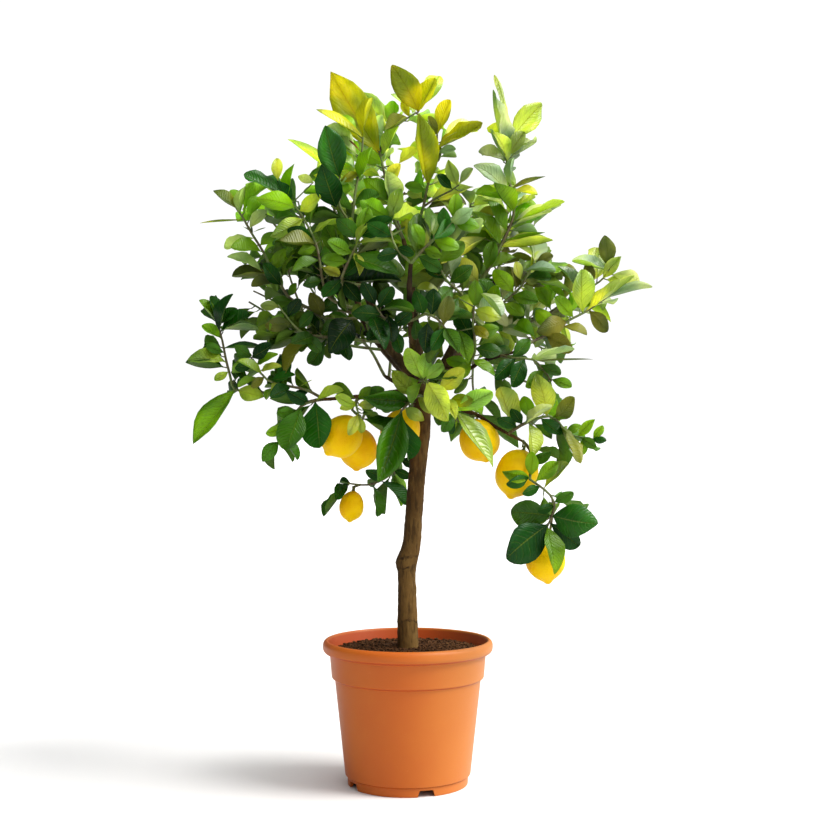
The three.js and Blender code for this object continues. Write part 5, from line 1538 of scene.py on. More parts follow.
class Graph:
    """The nodes of a material or of the world, wired one by one."""

    def __init__(self, tree: bpy.types.NodeTree) -> None:
        """Empties a tree of nodes."""
        self.tree = tree
        self.tree.nodes.clear()

    def node(self, kind: str, inputs: dict, **settings) -> bpy.types.Node:
        """Adds a node.

        Args:
            kind: Its kind, without the prefix that all kinds have.
            inputs: What goes into its sockets, by their names or numbers: values, numbers,
                colours or colour codes. None leaves a socket as it is.
            **settings: Its other settings.

        Returns:
            The node.
        """
        node = self.tree.nodes.new("ShaderNode" + kind)
        for key, setting in settings.items():
            setattr(node, key, setting)
        for key, value in inputs.items():
            if isinstance(value, Value):
                self.tree.links.new(value.socket, node.inputs[key])
            elif value is not None:
                node.inputs[key].default_value = linear(value) if isinstance(value, str) else value
        return node

    def made(self, kind: str, inputs: dict | None = None, out: str | int = 0, **settings) -> Value:
        """Adds a node as node() does, and gives the output that is asked for."""
        return Value(self, self.node(kind, inputs or {}, **settings).outputs[out])

    def sum(self, operation: str, *values: Value | float) -> Value:
        """Works out a sum."""
        return self.made("Math", dict(enumerate(values)), operation=operation)

    def blend(self, share: Value | float, a: Colour, b: Colour, how: str = "MIX") -> Value:
        """Mixes two colours."""
        return self.made("Mix", {0: share, 6: a, 7: b}, 2, data_type="RGBA", blend_type=how)

    def tinted(self, colour: Value, tint: Colour) -> Value:
        """Multiplies a colour by another."""
        return self.blend(1.0, colour, tint, "MULTIPLY")

    def scaled(self, colour: Value, share: Value) -> Value:
        """Makes a colour lighter or darker."""
        return self.made("VectorMath", {0: colour, "Scale": share}, operation="SCALE")

    def parts(self, vector: Value) -> list[Value]:
        """Gives the three parts of a place or a direction."""
        split = self.node("SeparateXYZ", {0: vector})
        return [Value(self, socket) for socket in split.outputs]

    def dot(self, a: Value, b: Value) -> Value:
        """Tells how far two directions agree."""
        return self.made("VectorMath", {0: a, 1: b}, "Value", operation="DOT_PRODUCT")

    def ramp(self, value: Value, low: float, high: float, start: float = 0.0, end: float = 1.0) -> Value:
        """Takes a value smoothly from start to end as it goes from low to high."""
        numbers = dict(enumerate((value, low, high, start, end)))
        return self.made("MapRange", numbers, interpolation_type="SMOOTHSTEP")


class Finish(Graph):
    """A material's nodes, with the patterns that finishes are made of."""

    def __init__(self, name: str) -> None:
        """Starts an empty material.

        Args:
            name: Its name.
        """
        self.material = bpy.data.materials.new(name)
        self.material.use_nodes = True
        super().__init__(self.material.node_tree)
        self.place = self.made("TexCoord", out="Object")

    def noise(self, scale: float, detail: float = 3, rough: float = 0.5,
              stretch: tuple[float, ...] = (1, 1, 1)) -> Value:
        """Gives a noise with features of about 1 / scale metres.

        Args:
            scale: How many features a metre holds.
            detail: How many finer layers it has.
            rough: How strong those are.
            stretch: How much finer it is along each axis.

        Returns:
            The noise, from 0 to 1.
        """
        place = self.place
        if stretch != (1, 1, 1):
            place = self.made("Mapping", {"Vector": place, "Scale": stretch})
        return self.made("TexNoise", {"Vector": place, "Scale": scale, "Detail": detail, "Roughness": rough})

    def cells(self, scale: float) -> Value:
        """Gives how far each place is from the middle of its soft-edged cell."""
        return self.made("TexVoronoi", {"Vector": self.place, "Scale": scale}, "Distance",
                         feature="SMOOTH_F1")

    def relief(self, height: Value, depth: float) -> Value:
        """Turns a height into relief, depth being in metres."""
        return self.made("Bump", {"Strength": 1.0, "Distance": depth, "Height": height})

    def surface(self, colour: Value, rough: Value | float, normal: Value | None = None,
                through: Value | None = None, share: float = 0.0, gloss: float = 0.5) -> bpy.types.Material:
        """Ends the material in a surface, with light from behind where share is above zero.

        Args:
            colour: The surface's colour.
            rough: Its roughness.
            normal: Its relief.
            through: The colour of the light that comes through.
            share: How much of the surface is that light.
            gloss: How strongly it mirrors, 0.5 being common for plastics.

        Returns:
            The finished material.
        """
        surface = self.made("BsdfPrincipled", {"Base Color": colour, "Roughness": rough, "Normal": normal,
                                               "Specular IOR Level": gloss})
        if share > 0:
            behind = self.made("BsdfTranslucent", {"Color": through, "Normal": normal})
            surface = self.made("MixShader", {0: share, 1: surface, 2: behind})
        self.node("OutputMaterial", {"Surface": surface})
        return self.material


@dataclass(frozen=True)
class LeafFinish:
    """A citrus leaf: waxy above, dull and paler below, with a midrib and side veins."""

    name: str = "leaf_blade"
    translucence: float = 0.38
    gloss: float = 0.34
    veins: float = 9
    forward: float = 0.2
    rib_width: float = 0.09
    rib_share: float = 0.6
    vein_share: float = 0.15
    under_share: float = 0.24
    relief: float = 0.00034
    cool: tuple[float, ...] = (0.5, 0.64, 0.5, 1)
    warm: tuple[float, ...] = (1.3, 1.2, 0.8, 1)
    dark_rib: tuple[float, ...] = (0.8, 0.66, 0.4, 1)
    pale_rib: str = "b4c048"
    under: str = "96b44a"
    glow: str = "e6ee58"

    def lines(self, g: Finish) -> tuple[Value, Value, Value]:
        """Draws a blade's lines on its own UV map, where it lies along the first axis.

        Args:
            g: The material's nodes.

        Returns:
            The midrib, the side veins, and a wave that rises from each vein to the next.
        """
        along, side, _ = g.parts(g.made("UVMap", uv_map="UVMap"))
        out = abs(side - 0.5) * 2.0
        rib = (1.0 - out / (along * (-0.75 * self.rib_width) + self.rib_width)).clamped()
        wobble = g.noise(90, 1) * 0.06 - 0.03
        turns = (along - out ** 1.25 * self.forward + wobble) * self.veins
        wave = abs(turns.fraction() - 0.5) * 2.0
        return rib, g.ramp(wave, 0.8, 1.0) * g.ramp(out, 0.97, 0.55), wave

    def material(self) -> bpy.types.Material:
        """Builds the finish. The leaf's colour, with the painted light and shade that it is given, is in its
        tone, whose alpha is 1 above and 0 below.

        Returns:
            The material.
        """
        g = Finish(self.name)
        colour = g.made("Attribute", out="Color", attribute_name="tone")
        above = g.made("Attribute", out="Alpha", attribute_name="tone")
        rib, vein, wave = self.lines(g)
        shade = (g.noise(75, 3, 0.6) * 0.4 + 0.8) * (g.noise(420, 2) * 0.12 + 0.94)
        shaded = g.scaled(colour, shade)
        lit = g.blend(g.ramp(g.noise(22, 1), 0.34, 0.66), g.tinted(shaded, self.cool),
                      g.tinted(shaded, self.warm))
        light = g.ramp(g.parts(colour)[1], 0.18, 0.45)
        line = g.blend(light, g.blend(0.5, lit, self.pale_rib), g.tinted(lit, self.dark_rib))
        ribbed = g.blend((rib * self.rib_share + vein * self.vein_share).clamped(), lit, line)
        final = g.blend(above, g.blend(self.under_share, ribbed, self.under), ribbed)
        quilt = wave * (1.0 - wave) * 3.0 + g.noise(900, 2) * 0.25
        height = quilt - (rib * 1.4 + vein * 0.5)
        through = g.scaled(g.tinted(final, self.glow), light * 0.5 + 1.2)
        return g.surface(final, above * -0.24 + 0.55, g.relief(height, self.relief), through,
                         self.translucence, self.gloss)


@dataclass(frozen=True)
class StemFinish:
    """The green-brown skin of a young twig."""

    green: str = "506a24"
    brown: str = "46371c"
    cork: str = "8f8f55"

    def material(self) -> bpy.types.Material:
        """Builds the finish.

        Returns:
            The material.
        """
        g = Finish("young_stem")
        colour = g.blend(g.ramp(g.noise(45), 0.38, 0.62), self.brown, self.green)
        lines = g.noise(700, 3, 0.6, (1, 1, 0.25))
        colour = g.blend(g.ramp(lines, 0.35, 0.7, 0.0, 0.35), colour, self.cork)
        return g.surface(colour, 0.55, g.relief(lines, 0.0003))


@dataclass(frozen=True)
class BarkFinish:
    """Bark that is olive-brown low on the trunk and reddish higher up, with painted shade: nearly black on
    the limbs in the crown, and darker on its side away from the light.
    """

    low: str = "76582c"
    high: str = "442d12"
    # Painted shade: the nearly black colour of the limbs in the crown.
    limb: str = "241d12"
    # The colour of the bark's grooves, also used for painted shade on the side away from the light.
    groove_and_shade: str = "2c1d0b"
    patch: str = "86693a"
    fleck: str = "94794a"
    scar: str = "20140a"
    scars: tuple[tuple[float, float], ...] = ((0.2905, 0.0034), (0.2775, 0.0028), (0.209, 0.0022))

    def material(self) -> bpy.types.Material:
        """Builds the finish.

        Returns:
            The material.
        """
        g = Finish("bark")
        height = g.parts(g.place)[2]
        streaks = g.noise(260, 5, 0.62, (1, 1, 0.16))
        flecks = g.noise(520, 3, 0.6, (1, 1, 0.4))
        patches = g.noise(38, 3, 0.55, (1, 1, 0.6))
        base = g.blend(g.ramp(height, 0.2, 0.42), self.low, self.high)
        # Painted shade on the limbs, above the trunk.
        base = g.blend(g.ramp(height, 0.49, 0.54), base, self.limb)
        base = g.blend(g.ramp(patches, 0.35, 0.7, 0.0, 0.45), base, self.patch)
        base = g.blend(g.ramp(streaks, 0.54, 0.34, 0.0, 0.62), base, self.groove_and_shade)
        base = g.blend(g.ramp(flecks, 0.62, 0.75, 0.0, 0.4), base, self.fleck)
        # Painted shade: the side that faces left, away from the light, is darkened to the groove colour.
        painted_shade_side = g.parts(g.made("NewGeometry", out="Normal"))[0]
        base = g.blend(g.ramp(painted_shade_side, -0.1, -0.9, 0.0, 0.6), base, self.groove_and_shade)
        uneven = height + (g.noise(70, 2) * 0.022 - 0.011)
        for middle, half in self.scars:
            mark = g.ramp(abs(uneven - middle), half, half * 0.3)
            base = g.blend(mark * g.ramp(g.noise(120, 1), 0.4, 0.6, 0.25, 0.85), base, self.scar)
        return g.surface(base, 0.82, g.relief(streaks + flecks * 0.35, 0.0016), gloss=0.15)


@dataclass(frozen=True)
class PlasticFinish:
    """Moulded orange plastic with a satin skin, with painted light on its sunny side, which is paler and
    yellower, and painted shade inside the pot, which is deeper and redder.
    """

    colour: str = "c25e16"
    worn: str = "cc721e"
    speck: str = "dc9050"
    # Painted light: the paler, yellower colour of the side towards the light.
    painted_sunlit: str = "c48644"
    # Painted shade: the deeper, redder colour inside the pot.
    inside: str = "b23c10"

    def material(self) -> bpy.types.Material:
        """Builds the finish.

        Returns:
            The material.
        """
        g = Finish("pot_plastic")
        across = float(AXIS[0])
        colour = g.blend(g.ramp(g.noise(16), 0.3, 0.75, 0.0, 0.35), self.colour, self.worn)
        colour = g.blend(g.ramp(g.noise(240, 3, 0.6), 0.62, 0.8, 0.0, 0.12), colour, self.speck)
        # Painted light: the right-hand side, towards the light, is paler and yellower.
        sunny = g.ramp(g.parts(g.place)[0], across - 0.02, across + 0.11, 0.0, 0.6)
        colour = g.blend(sunny, colour, self.painted_sunlit)
        # Painted shade: surfaces that face in towards the axis take the deeper inside colour.
        outwards = g.made("VectorMath", {0: g.place, 1: (across, float(AXIS[1]), 0)}, operation="SUBTRACT")
        painted_inner_shade = g.ramp(g.dot(outwards, g.made("NewGeometry", out="Normal")), 0.0, -0.06, 0.0, 0.75)
        colour = g.blend(painted_inner_shade, colour, self.inside)
        return g.surface(colour, g.noise(60) * 0.12 + 0.36, g.relief(g.noise(1400, 2), 0.00006), gloss=0.3)


@dataclass(frozen=True)
class SoilFinish:
    """Damp dark potting soil with paler fibres."""

    dark: str = "2a190d"
    light: str = "6a472b"
    fibre: str = "a07c50"

    def material(self) -> bpy.types.Material:
        """Builds the finish.

        Returns:
            The material.
        """
        g = Finish("potting_soil")
        crumb = g.noise(300, 5, 0.65)
        colour = g.blend(g.ramp(crumb, 0.35, 0.68), self.dark, self.light)
        colour = g.blend(g.ramp(g.noise(620, 2), 0.68, 0.78, 0.0, 0.6), colour, self.fibre)
        return g.surface(colour, 0.92, g.relief(crumb, 0.003), gloss=0.1)


@dataclass(frozen=True)
class PeelFinish:
    """Ripe lemon peel: satin, with the pores of its oil glands."""

    ripe: str = "fbd000"
    deep: str = "eba200"

    def material(self) -> bpy.types.Material:
        """Builds the finish.

        Returns:
            The material.
        """
        g = Finish("lemon_peel")
        pores = g.ramp(g.cells(620), 0.0, 0.55)
        colour = g.blend(g.ramp(g.noise(34), 0.35, 0.72, 0.0, 0.55), self.ripe, self.deep)
        colour = g.blend(g.ramp(pores, 0.35, 0.0, 0.0, 0.35), colour, self.deep)
        return g.surface(colour, 0.42, g.relief(pores * 0.3 + g.noise(70, 2) * 1.2, 0.0009), gloss=0.09)


class Finishes:
    """Every finish, built once."""

    def __init__(self) -> None:
        """Builds them."""
        self.leaf = LeafFinish().material()
        # Painted shade: leaves in the crown's middle shine less and let less light through.
        self.inner_leaf = LeafFinish("inner_leaf_blade", translucence=0.25, gloss=0.1).material()
        self.dark_leaf = LeafFinish("dark_leaf_blade", translucence=0.32, gloss=0.22).material()
        self.pale_leaf = LeafFinish("pale_leaf_blade", gloss=0.75).material()
        self.stem = StemFinish().material()
        self.bark = BarkFinish().material()
        self.plastic = PlasticFinish().material()
        self.soil = SoilFinish().material()
        self.peel = PeelFinish().material()


# ---------------------------------------------------------------- sub-assemblies


@dataclass(frozen=True)
class BladeForm:
    """The way that a leaf's blade is curved and cut, in shares of its length."""

    camber: float
    fold: float
    wave: float
    curl: float
    sweep: float
    twist: float
    widest: float
    round: float
    sharp: float
    phase: float


class BladeForms(Enum):
    """The blades that the crown is made of."""

    LONG = BladeForm(0.05, 0.28, 0.006, 0.03, 0.02, 0.25, 0.95, 0.75, 0.5, 0.0)
    ARCHED = BladeForm(0.1, 0.42, 0.012, 0.08, -0.035, -0.45, 1.1, 0.62, 0.1, 1.1)
    FOLDED = BladeForm(0.06, 0.62, 0.01, 0.02, 0.04, 0.4, 1.05, 0.75, 0.25, 0.4)
    WAVY = BladeForm(0.065, 0.36, 0.034, 0.01, -0.03, 0.5, 1.2, 0.55, 0.0, 2.0)
    RIPPLED = BladeForm(0.05, 0.4, 0.04, -0.05, 0.035, -0.5, 1.0, 0.68, 0.2, 3.6)
    HANGING = BladeForm(0.1, 0.26, 0.02, 0.12, -0.04, 0.3, 1.12, 0.64, 0.15, 5.0)
    BLUNT = BladeForm(0.07, 0.44, 0.014, 0.04, 0.02, -0.4, 1.35, 0.5, 0.0, 2.7)
    SPOON = BladeForm(0.08, 0.5, 0.016, 0.05, 0.025, 0.35, 1.6, 0.5, 0.0, 4.2)


@dataclass
class BladePattern:
    """One blade, one unit long and wide, that leaves are copied from."""

    form: BladeForm
    columns: int
    rows: tuple[float, ...] = (0.0, 0.05, 0.12, 0.22, 0.34, 0.47, 0.6, 0.73, 0.84, 0.93, 0.98, 1.0)
    thickness: float = 0.007
    aside: float = 2
    ripples: float = 2.6

    def outline(self, t: float) -> float:
        """Gives the blade's width at a share of its length, drawn in to a point where it is sharp.

        Args:
            t: The share of its length.

        Returns:
            The share of its full width.
        """
        if t >= 1:
            return 1e-3
        form = self.form
        wide = max(math.sin(math.pi * t ** form.widest), 0.0) ** mix(1.1, form.round, min(1.0, 1.6 * t))
        wide *= 1 - form.sharp * max(0.0, (t - 0.72) / 0.28) ** 1.3
        return max(wide, 0.06)

    def swept(self, t: float) -> float:
        """Gives how far the blade's middle is swept aside at a share of its length."""
        return self.form.sweep * (4 * t * (1 - t) - 0.6 * t * t)

    def build(self, name: str) -> bpy.types.Mesh:
        """Models the blade from a grid, with a tone whose alpha tells its face from its underside.

        Args:
            name: The pattern's name.

        Returns:
            A closed thin mesh.
        """
        segments = len(self.rows) - 1
        bpy.ops.mesh.primitive_grid_add(x_subdivisions=segments, y_subdivisions=self.columns, size=1,
                                        location=(0.5, 0, 0), calc_uvs=True)
        piece = Bench.named(name)
        with Bench.editing(piece):
            self.space_rows(piece, segments)
            self.fold(piece)
            self.curve(piece)
            self.ripple(piece)
            bpy.ops.mesh.select_all(action="SELECT")
            bpy.ops.mesh.remove_doubles(threshold=2e-3)
        Bench.modified(piece, "SOLIDIFY", thickness=self.thickness, offset=0, use_even_offset=False)
        Bench.outwards(piece, 1e-6)
        bpy.ops.object.shade_smooth()
        mesh = piece.data
        up = np.zeros(len(mesh.vertices) * 3)
        mesh.vertices.foreach_get("normal", up)
        tone = np.ones((len(mesh.vertices), 4))
        tone[:, 3] = up.reshape(-1, 3)[:, 2] > 0
        mesh.color_attributes.new("tone", "FLOAT_COLOR", "POINT").data.foreach_set("color", tone.ravel())
        log.info("blade %s: %d faces", name, len(mesh.polygons))
        return Bench.kept(piece)

    def space_rows(self, piece: bpy.types.Object, segments: int) -> None:
        """Moves the even rows of a grid to where the blade needs them.

        Args:
            piece: The grid, open in edit mode.
            segments: How many faces it is long.
        """
        for i in range(segments, -1, -1):
            at = i / segments
            Bench.pick(piece, lambda co: abs(co.x - at) < 1e-4)
            bpy.ops.transform.translate(value=(self.rows[i] - at + self.aside, 0, 0))
        bpy.ops.mesh.select_all(action="SELECT")
        bpy.ops.transform.translate(value=(-self.aside, 0, 0))

    def fold(self, piece: bpy.types.Object) -> None:
        """Folds both halves up along the midrib, most beside it.

        Args:
            piece: The flat blade, open in edit mode.
        """
        level_count = self.columns // 2
        flatter = math.cos(self.form.fold)
        for sign in (1, -1):
            Bench.pick(piece, lambda co: co.y * sign > 0.01)
            bpy.ops.transform.resize(value=(1, flatter, 1), center_override=(0, 0, 0))
            for level in range(level_count):
                reach = (level + 1) / level_count
                Bench.pick(piece, lambda co: co.y * sign > (reach - 0.1) * 0.5 * flatter)
                step = self.form.fold * (0.5 / level_count) * (1.25 - 0.5 * level)
                bpy.ops.transform.translate(value=(0, 0, step))

    def curve(self, piece: bpy.types.Object) -> None:
        """Draws each row in to the outline, and twists, arches and sweeps it.

        Args:
            piece: The folded blade, open in edit mode.
        """
        form = self.form
        for t in self.rows:
            Bench.pick(piece, lambda co: abs(co.x - t) < 1e-4)
            wide = self.outline(t)
            bpy.ops.transform.resize(value=(1, wide, wide), center_override=(t, 0, 0))
            bpy.ops.transform.rotate(value=form.twist * t * t, orient_axis="X", center_override=(t, 0, 0))
            droop = form.curl * max(0.0, (t - 0.5) / 0.5) ** 2
            lift = 4 * form.camber * t * (1 - t) - droop - form.fold * 0.25 * wide
            bpy.ops.transform.translate(value=(0, self.swept(t), lift))

    def ripple(self, piece: bpy.types.Object) -> None:
        """Moves both edges up and down in waves.

        Args:
            piece: The curved blade, open in edit mode.
        """
        for sign in (1, -1):
            for t in self.rows[2:-2]:
                Bench.pick(piece, lambda co: abs(co.x - t) < 1e-4
                           and (co.y - self.swept(t)) * sign > 0.36 * self.outline(t))
                turn = 2 * math.pi * self.ripples * t + self.form.phase + sign
                bpy.ops.transform.translate(value=(0, 0, self.form.wave * math.sin(turn)))


@dataclass
class Foliage:
    """The leaves with their stalks, and the twigs that carry them. Lengths are in millimetres."""

    large: float = 60
    medium: float = 52
    small: float = 44
    broad: float = 0.62
    broadest: float = 0.58
    broadest_large: float = 0.74
    edge_on: float = 0.3
    deepest_squash: float = 0.55
    petiole_radius: float = 0.8
    petiole_overlap: float = 0.04
    twig_step: float = 9
    # Painted light and shade: heart, reach, light, top and the tones below give leaves that no one drew paler
    # tones high up and towards the light, and deeper ones away from it.
    heart: tuple[float, float, float] = (0.0, 0.0, 610.0)
    reach: float = 230
    light: tuple[float, float, float] = (0.62, -0.15, 0.77)
    top: float = 750
    top_tones: tuple[int, ...] = (3, 4, 7, 5, 7, 7)
    lit_tones: tuple[tuple[float, tuple[int, ...]], ...] = (
        (0.45, (3, 4, 4, 7, 8)), (0.1, (2, 3, 3, 4, 7)), (-math.inf, (1, 2, 2, 3, 3)))
    # Painted shade: leaves are darkened towards this middle of the crown, and lightened well outside it.
    shade_heart: tuple[float, float, float] = (-38.0, 0.0, 605.0)
    shade_stretch: tuple[float, float, float] = (0.72, 0.45, 1.15)
    shade_range: tuple[float, float] = (50, 175)
    fill_painted_light_and_shade: tuple[float, float] = (0.12, 1.26)
    drawn_painted_light_and_shade: tuple[float, float] = (0.66, 1.2)
    # Painted light: leaves are lightened and warmed towards the right, where the light comes from.
    painted_sunlit: tuple[float, float, float] = (0.2, 0.02, 0.6)
    painted_sunlit_range: tuple[float, float] = (10, 140)
    # Painted light: leaves at the top of the crown, away from its right, are lightened.
    top_gain: tuple[float, float, float] = (1.5, 1.32, 1.3)
    top_range: tuple[float, float] = (660, 780)
    top_side_range: tuple[float, float] = (110, 50)
    hidden_below: float = 0.45
    dark_below: float = 0.15
    pale_above: float = 0.42
    pale_blue_above: float = 0.03
    seed: int = 5

    def __post_init__(self) -> None:
        """Models each blade once, coarse and fine, and the stalk."""
        self.blades = {form: BladePattern(form.value, 2).build(form.name.lower()) for form in BladeForms}
        self.large_blades = {form: BladePattern(form.value, 4).build(form.name.lower() + "_large")
                             for form in BladeForms}
        bpy.ops.mesh.primitive_cone_add(vertices=5, radius1=1.3, radius2=0.85, depth=1,
                                        location=(0.5, 0, 0), rotation=(0, math.pi / 2, 0))
        self.stalk = Bench.kept(Bench.named("stalk"))
        self.chance = random.Random(self.seed)

    def openness(self, leaf: Leaf) -> float:
        """Tells how far a leaf is from the crown's middle, where its colour is given painted shade, from 0 in
        it to 1 well outside.
        """
        away = (leaf.base - np.array(self.shade_heart)) * self.shade_stretch
        return way_between(float(np.linalg.norm(away)), *self.shade_range)

    def own_tone(self, leaf: Leaf) -> int:
        """Chooses the tone of a leaf that no one drew as painted light and shade: paler at the top and
        towards the light, deeper away from it.

        Args:
            leaf: The leaf.

        Returns:
            The tone's number.
        """
        if leaf.base[2] > self.top:
            return self.chance.choice(self.top_tones)
        lit = (leaf.base - np.array(self.heart)).dot(self.light) / self.reach
        return self.chance.choice(next(tones for least, tones in self.lit_tones if lit > least))

    def colour_of(self, leaf: Leaf) -> np.ndarray:
        """Chooses a leaf's colour from its tone, with painted shade towards the crown's middle and painted
        light at its top and on its right, towards the light.

        Args:
            leaf: The leaf.

        Returns:
            Linear red, green and blue.
        """
        tone = leaf.tone if leaf.is_drawn() else self.own_tone(leaf)
        colour = np.array(linear(TONES[tone].value)[:3])
        colour = colour * self.chance.uniform(0.86, 1.16)
        # Painted shade in the crown's middle, and painted light well outside it.
        painted_scale = self.drawn_painted_light_and_shade if leaf.is_drawn() else self.fill_painted_light_and_shade
        colour = colour * mix(*painted_scale, self.openness(leaf))
        # Painted light on the crown's right-hand side, towards the light.
        sunlit_gain = way_between(leaf.base[0], *self.painted_sunlit_range) * np.array(self.painted_sunlit)
        # Painted light at the top of the crown, fading out towards its right.
        high = way_between(leaf.base[2], *self.top_range) * way_between(leaf.base[0], *self.top_side_range)
        colour = colour * mix(1.0, np.array(self.top_gain), high)
        return colour * (1 + sunlit_gain) * [self.chance.uniform(0.93, 1.08), 1, self.chance.uniform(0.85, 1.15)]

    def finish_of(self, leaf: Leaf, green: float, blue: float) -> bpy.types.Material:
        """Chooses a leaf's gloss: a deep green leaf shines less than a pale one, and one in the crown's
        middle least, as part of the painted shade there.

        Args:
            leaf: The leaf.
            green: How green its colour is.
            blue: How blue.

        Returns:
            The finish.
        """
        if not leaf.is_drawn() and self.openness(leaf) < self.hidden_below:
            return FINISH.inner_leaf
        if green < self.dark_below:
            return FINISH.dark_leaf
        return FINISH.pale_leaf if green > self.pale_above and blue > self.pale_blue_above else FINISH.leaf

    def form_of(self, leaf: Leaf) -> BladeForms:
        """Chooses a leaf's blade from those that suit its size.

        Args:
            leaf: The leaf.

        Returns:
            The blade's form.
        """
        if leaf.width * leaf.slim > self.broad * leaf.length:
            forms = "BLUNT WAVY HANGING"
        elif leaf.is_drawn() and TONES[leaf.tone] is Tone.OLIVE_YELLOW and leaf.length > self.large:
            forms = "LONG LONG HANGING RIPPLED"
        elif leaf.length < self.small:
            forms = "SPOON SPOON BLUNT FOLDED WAVY"
        elif leaf.length > self.large:
            forms = "LONG ARCHED FOLDED WAVY RIPPLED HANGING"
        else:
            forms = " ".join(form.name for form in BladeForms)
        return BladeForms[self.chance.choice(forms.split())]

    def blade_on(self, leaf: Leaf) -> bpy.types.Object:
        """Copies a blade into a leaf's place and colours it.

        Args:
            leaf: The leaf.

        Returns:
            The blade.
        """
        form = self.form_of(leaf)
        broad = self.broadest_large if leaf.length > self.medium else self.broadest
        slim = min(leaf.slim, broad * leaf.length / leaf.width)
        flat = max(slim, self.deepest_squash) if slim > self.edge_on else slim
        patterns = self.large_blades if leaf.length > self.large else self.blades
        blade = Bench.copied(patterns[form], laid_along(
            leaf.along * leaf.length, leaf.across * leaf.width * slim, leaf.normal * leaf.length * flat,
            leaf.base))
        tone = np.zeros(len(blade.data.vertices) * 4)
        attribute = blade.data.color_attributes["tone"].data
        attribute.foreach_get("color", tone)
        tone = tone.reshape(-1, 4)
        tone[:, :3] = self.colour_of(leaf)
        attribute.foreach_set("color", tone.ravel())
        blade.data.materials.append(self.finish_of(leaf, *tone[0, 1:3]))
        return blade

    def stalk_on(self, leaf: Leaf) -> bpy.types.Object | None:
        """Copies a leaf's stalk into its place, where it has one.

        Args:
            leaf: The leaf.

        Returns:
            The stalk.
        """
        run = leaf.base + leaf.along * leaf.length * self.petiole_overlap - leaf.root
        length = float(np.linalg.norm(run))
        if length <= 1:
            return None
        along = run / length
        side = unit(np.cross(along, leaf.normal if abs(along.dot(leaf.normal)) < 0.9 else leaf.across))
        over = np.cross(along, side)
        stalk = Bench.copied(self.stalk, laid_along(
            run, side * self.petiole_radius, over * self.petiole_radius, leaf.root))
        stalk.data.materials.append(FINISH.stem)
        return stalk

    def build(self, growth: Growth) -> None:
        """Builds every shoot as one piece.

        Args:
            growth: Where everything grows.
        """
        for i, (name, _, _) in enumerate(SHOOTS):
            lines = [smooth_path(twig.path, twig.radii, self.twig_step) for twig in growth.twigs[i]]
            twigs = rods(name + "_twigs", lines, 1)
            twigs.data.materials.append(FINISH.stem)
            parts = [twigs]
            for leaf in growth.leaves[i]:
                parts += [part for part in (self.blade_on(leaf), self.stalk_on(leaf)) if part]
            shoot = Bench.joined(parts, name.replace("shoot_", "leafy_"))
            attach(shoot, "root")
            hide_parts(name)
            log.info("%s: %d leaves, %d faces", shoot.name, len(growth.leaves[i]), len(shoot.data.polygons))


@dataclass
class Wood:
    """The trunk with its limbs, grown together into one piece."""

    # [height, the way that it looks in degrees, radius, how much of it is in the trunk]
    knots: tuple[tuple[float, float, float, float], ...] = (
        (207, 200, 4.5, 1.0), (237, -60, 5.5, 1.1), (283, 178, 6.0, 1.2), (289, -15, 5.0, 1.1),
        (312, -100, 5.0, 1.2), (352, 10, 4.5, 1.1), (398, 215, 5.0, 1.1), (443, -75, 5.0, 1.2),
    )
    arms: tuple[str, ...] = ("low_right", "left_arm", "right_arm")
    arm_share: float = 0.75
    voxel: float = 1.4
    step: float = 6
    swell: float = 1.08

    def build(self, growth: Growth) -> None:
        """Builds the wood from rods and knots, grown together by one skin.

        Args:
            growth: Where everything grows.
        """
        trunk = growth.trunk
        lines = [smooth_path(trunk.path, [radius * self.swell for radius in trunk.radii], self.step)]
        for name, limb in growth.limbs.items():
            share = self.arm_share if name in self.arms else 1.0
            lines.append(smooth_path(limb.path, [radius * share for radius in limb.radii], self.step))
        parts = [rods("trunk_rods", lines, 6), *[self.knot(trunk, *row) for row in self.knots]]
        wood = Bench.joined(parts, "trunk_and_limbs")
        Bench.modified(wood, "REMESH", mode="VOXEL", voxel_size=self.voxel * MM)
        Bench.modified(wood, "SMOOTH", factor=0.5, iterations=5)
        Bench.roughened(wood, "bark_wrinkles", 0.009, 3, strength=0.0016, mid_level=0.5)
        Bench.outwards(wood, 1e-6)
        bpy.ops.object.shade_smooth()
        wood.data.materials.clear()
        wood.data.materials.append(FINISH.bark)
        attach(wood, "root")
        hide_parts("trunk")
        log.info("%s: %d faces", wood.name, len(wood.data.polygons))

    @staticmethod
    def knot(trunk: Stem, height: float, angle: float, radius: float, sink: float) -> bpy.types.Object:
        """Makes the healed stub of a cut branch.

        Args:
            trunk: The wood that it is on.
            height: How high the knot is.
            angle: The way that it looks, in degrees.
            radius: The stub's radius.
            sink: How much of it is in the trunk.

        Returns:
            The stub, in its place.
        """
        path, radii = trunk.path, trunk.radii
        i = next(k for k in range(len(path) - 1) if path[k + 1][2] >= height)
        t = (height - path[i][2]) / (path[i + 1][2] - path[i][2])
        middle, around = mix(path[i], path[i + 1], t), mix(radii[i], radii[i + 1], t)
        turn = math.radians(angle)
        out = np.array([math.cos(turn), math.sin(turn), 0.15])
        place = to_row(middle + out * (around + radius * (0.5 - sink)))
        bpy.ops.mesh.primitive_uv_sphere_add(segments=20, ring_count=12, radius=radius * MM, location=place)
        return Bench.named("knot")


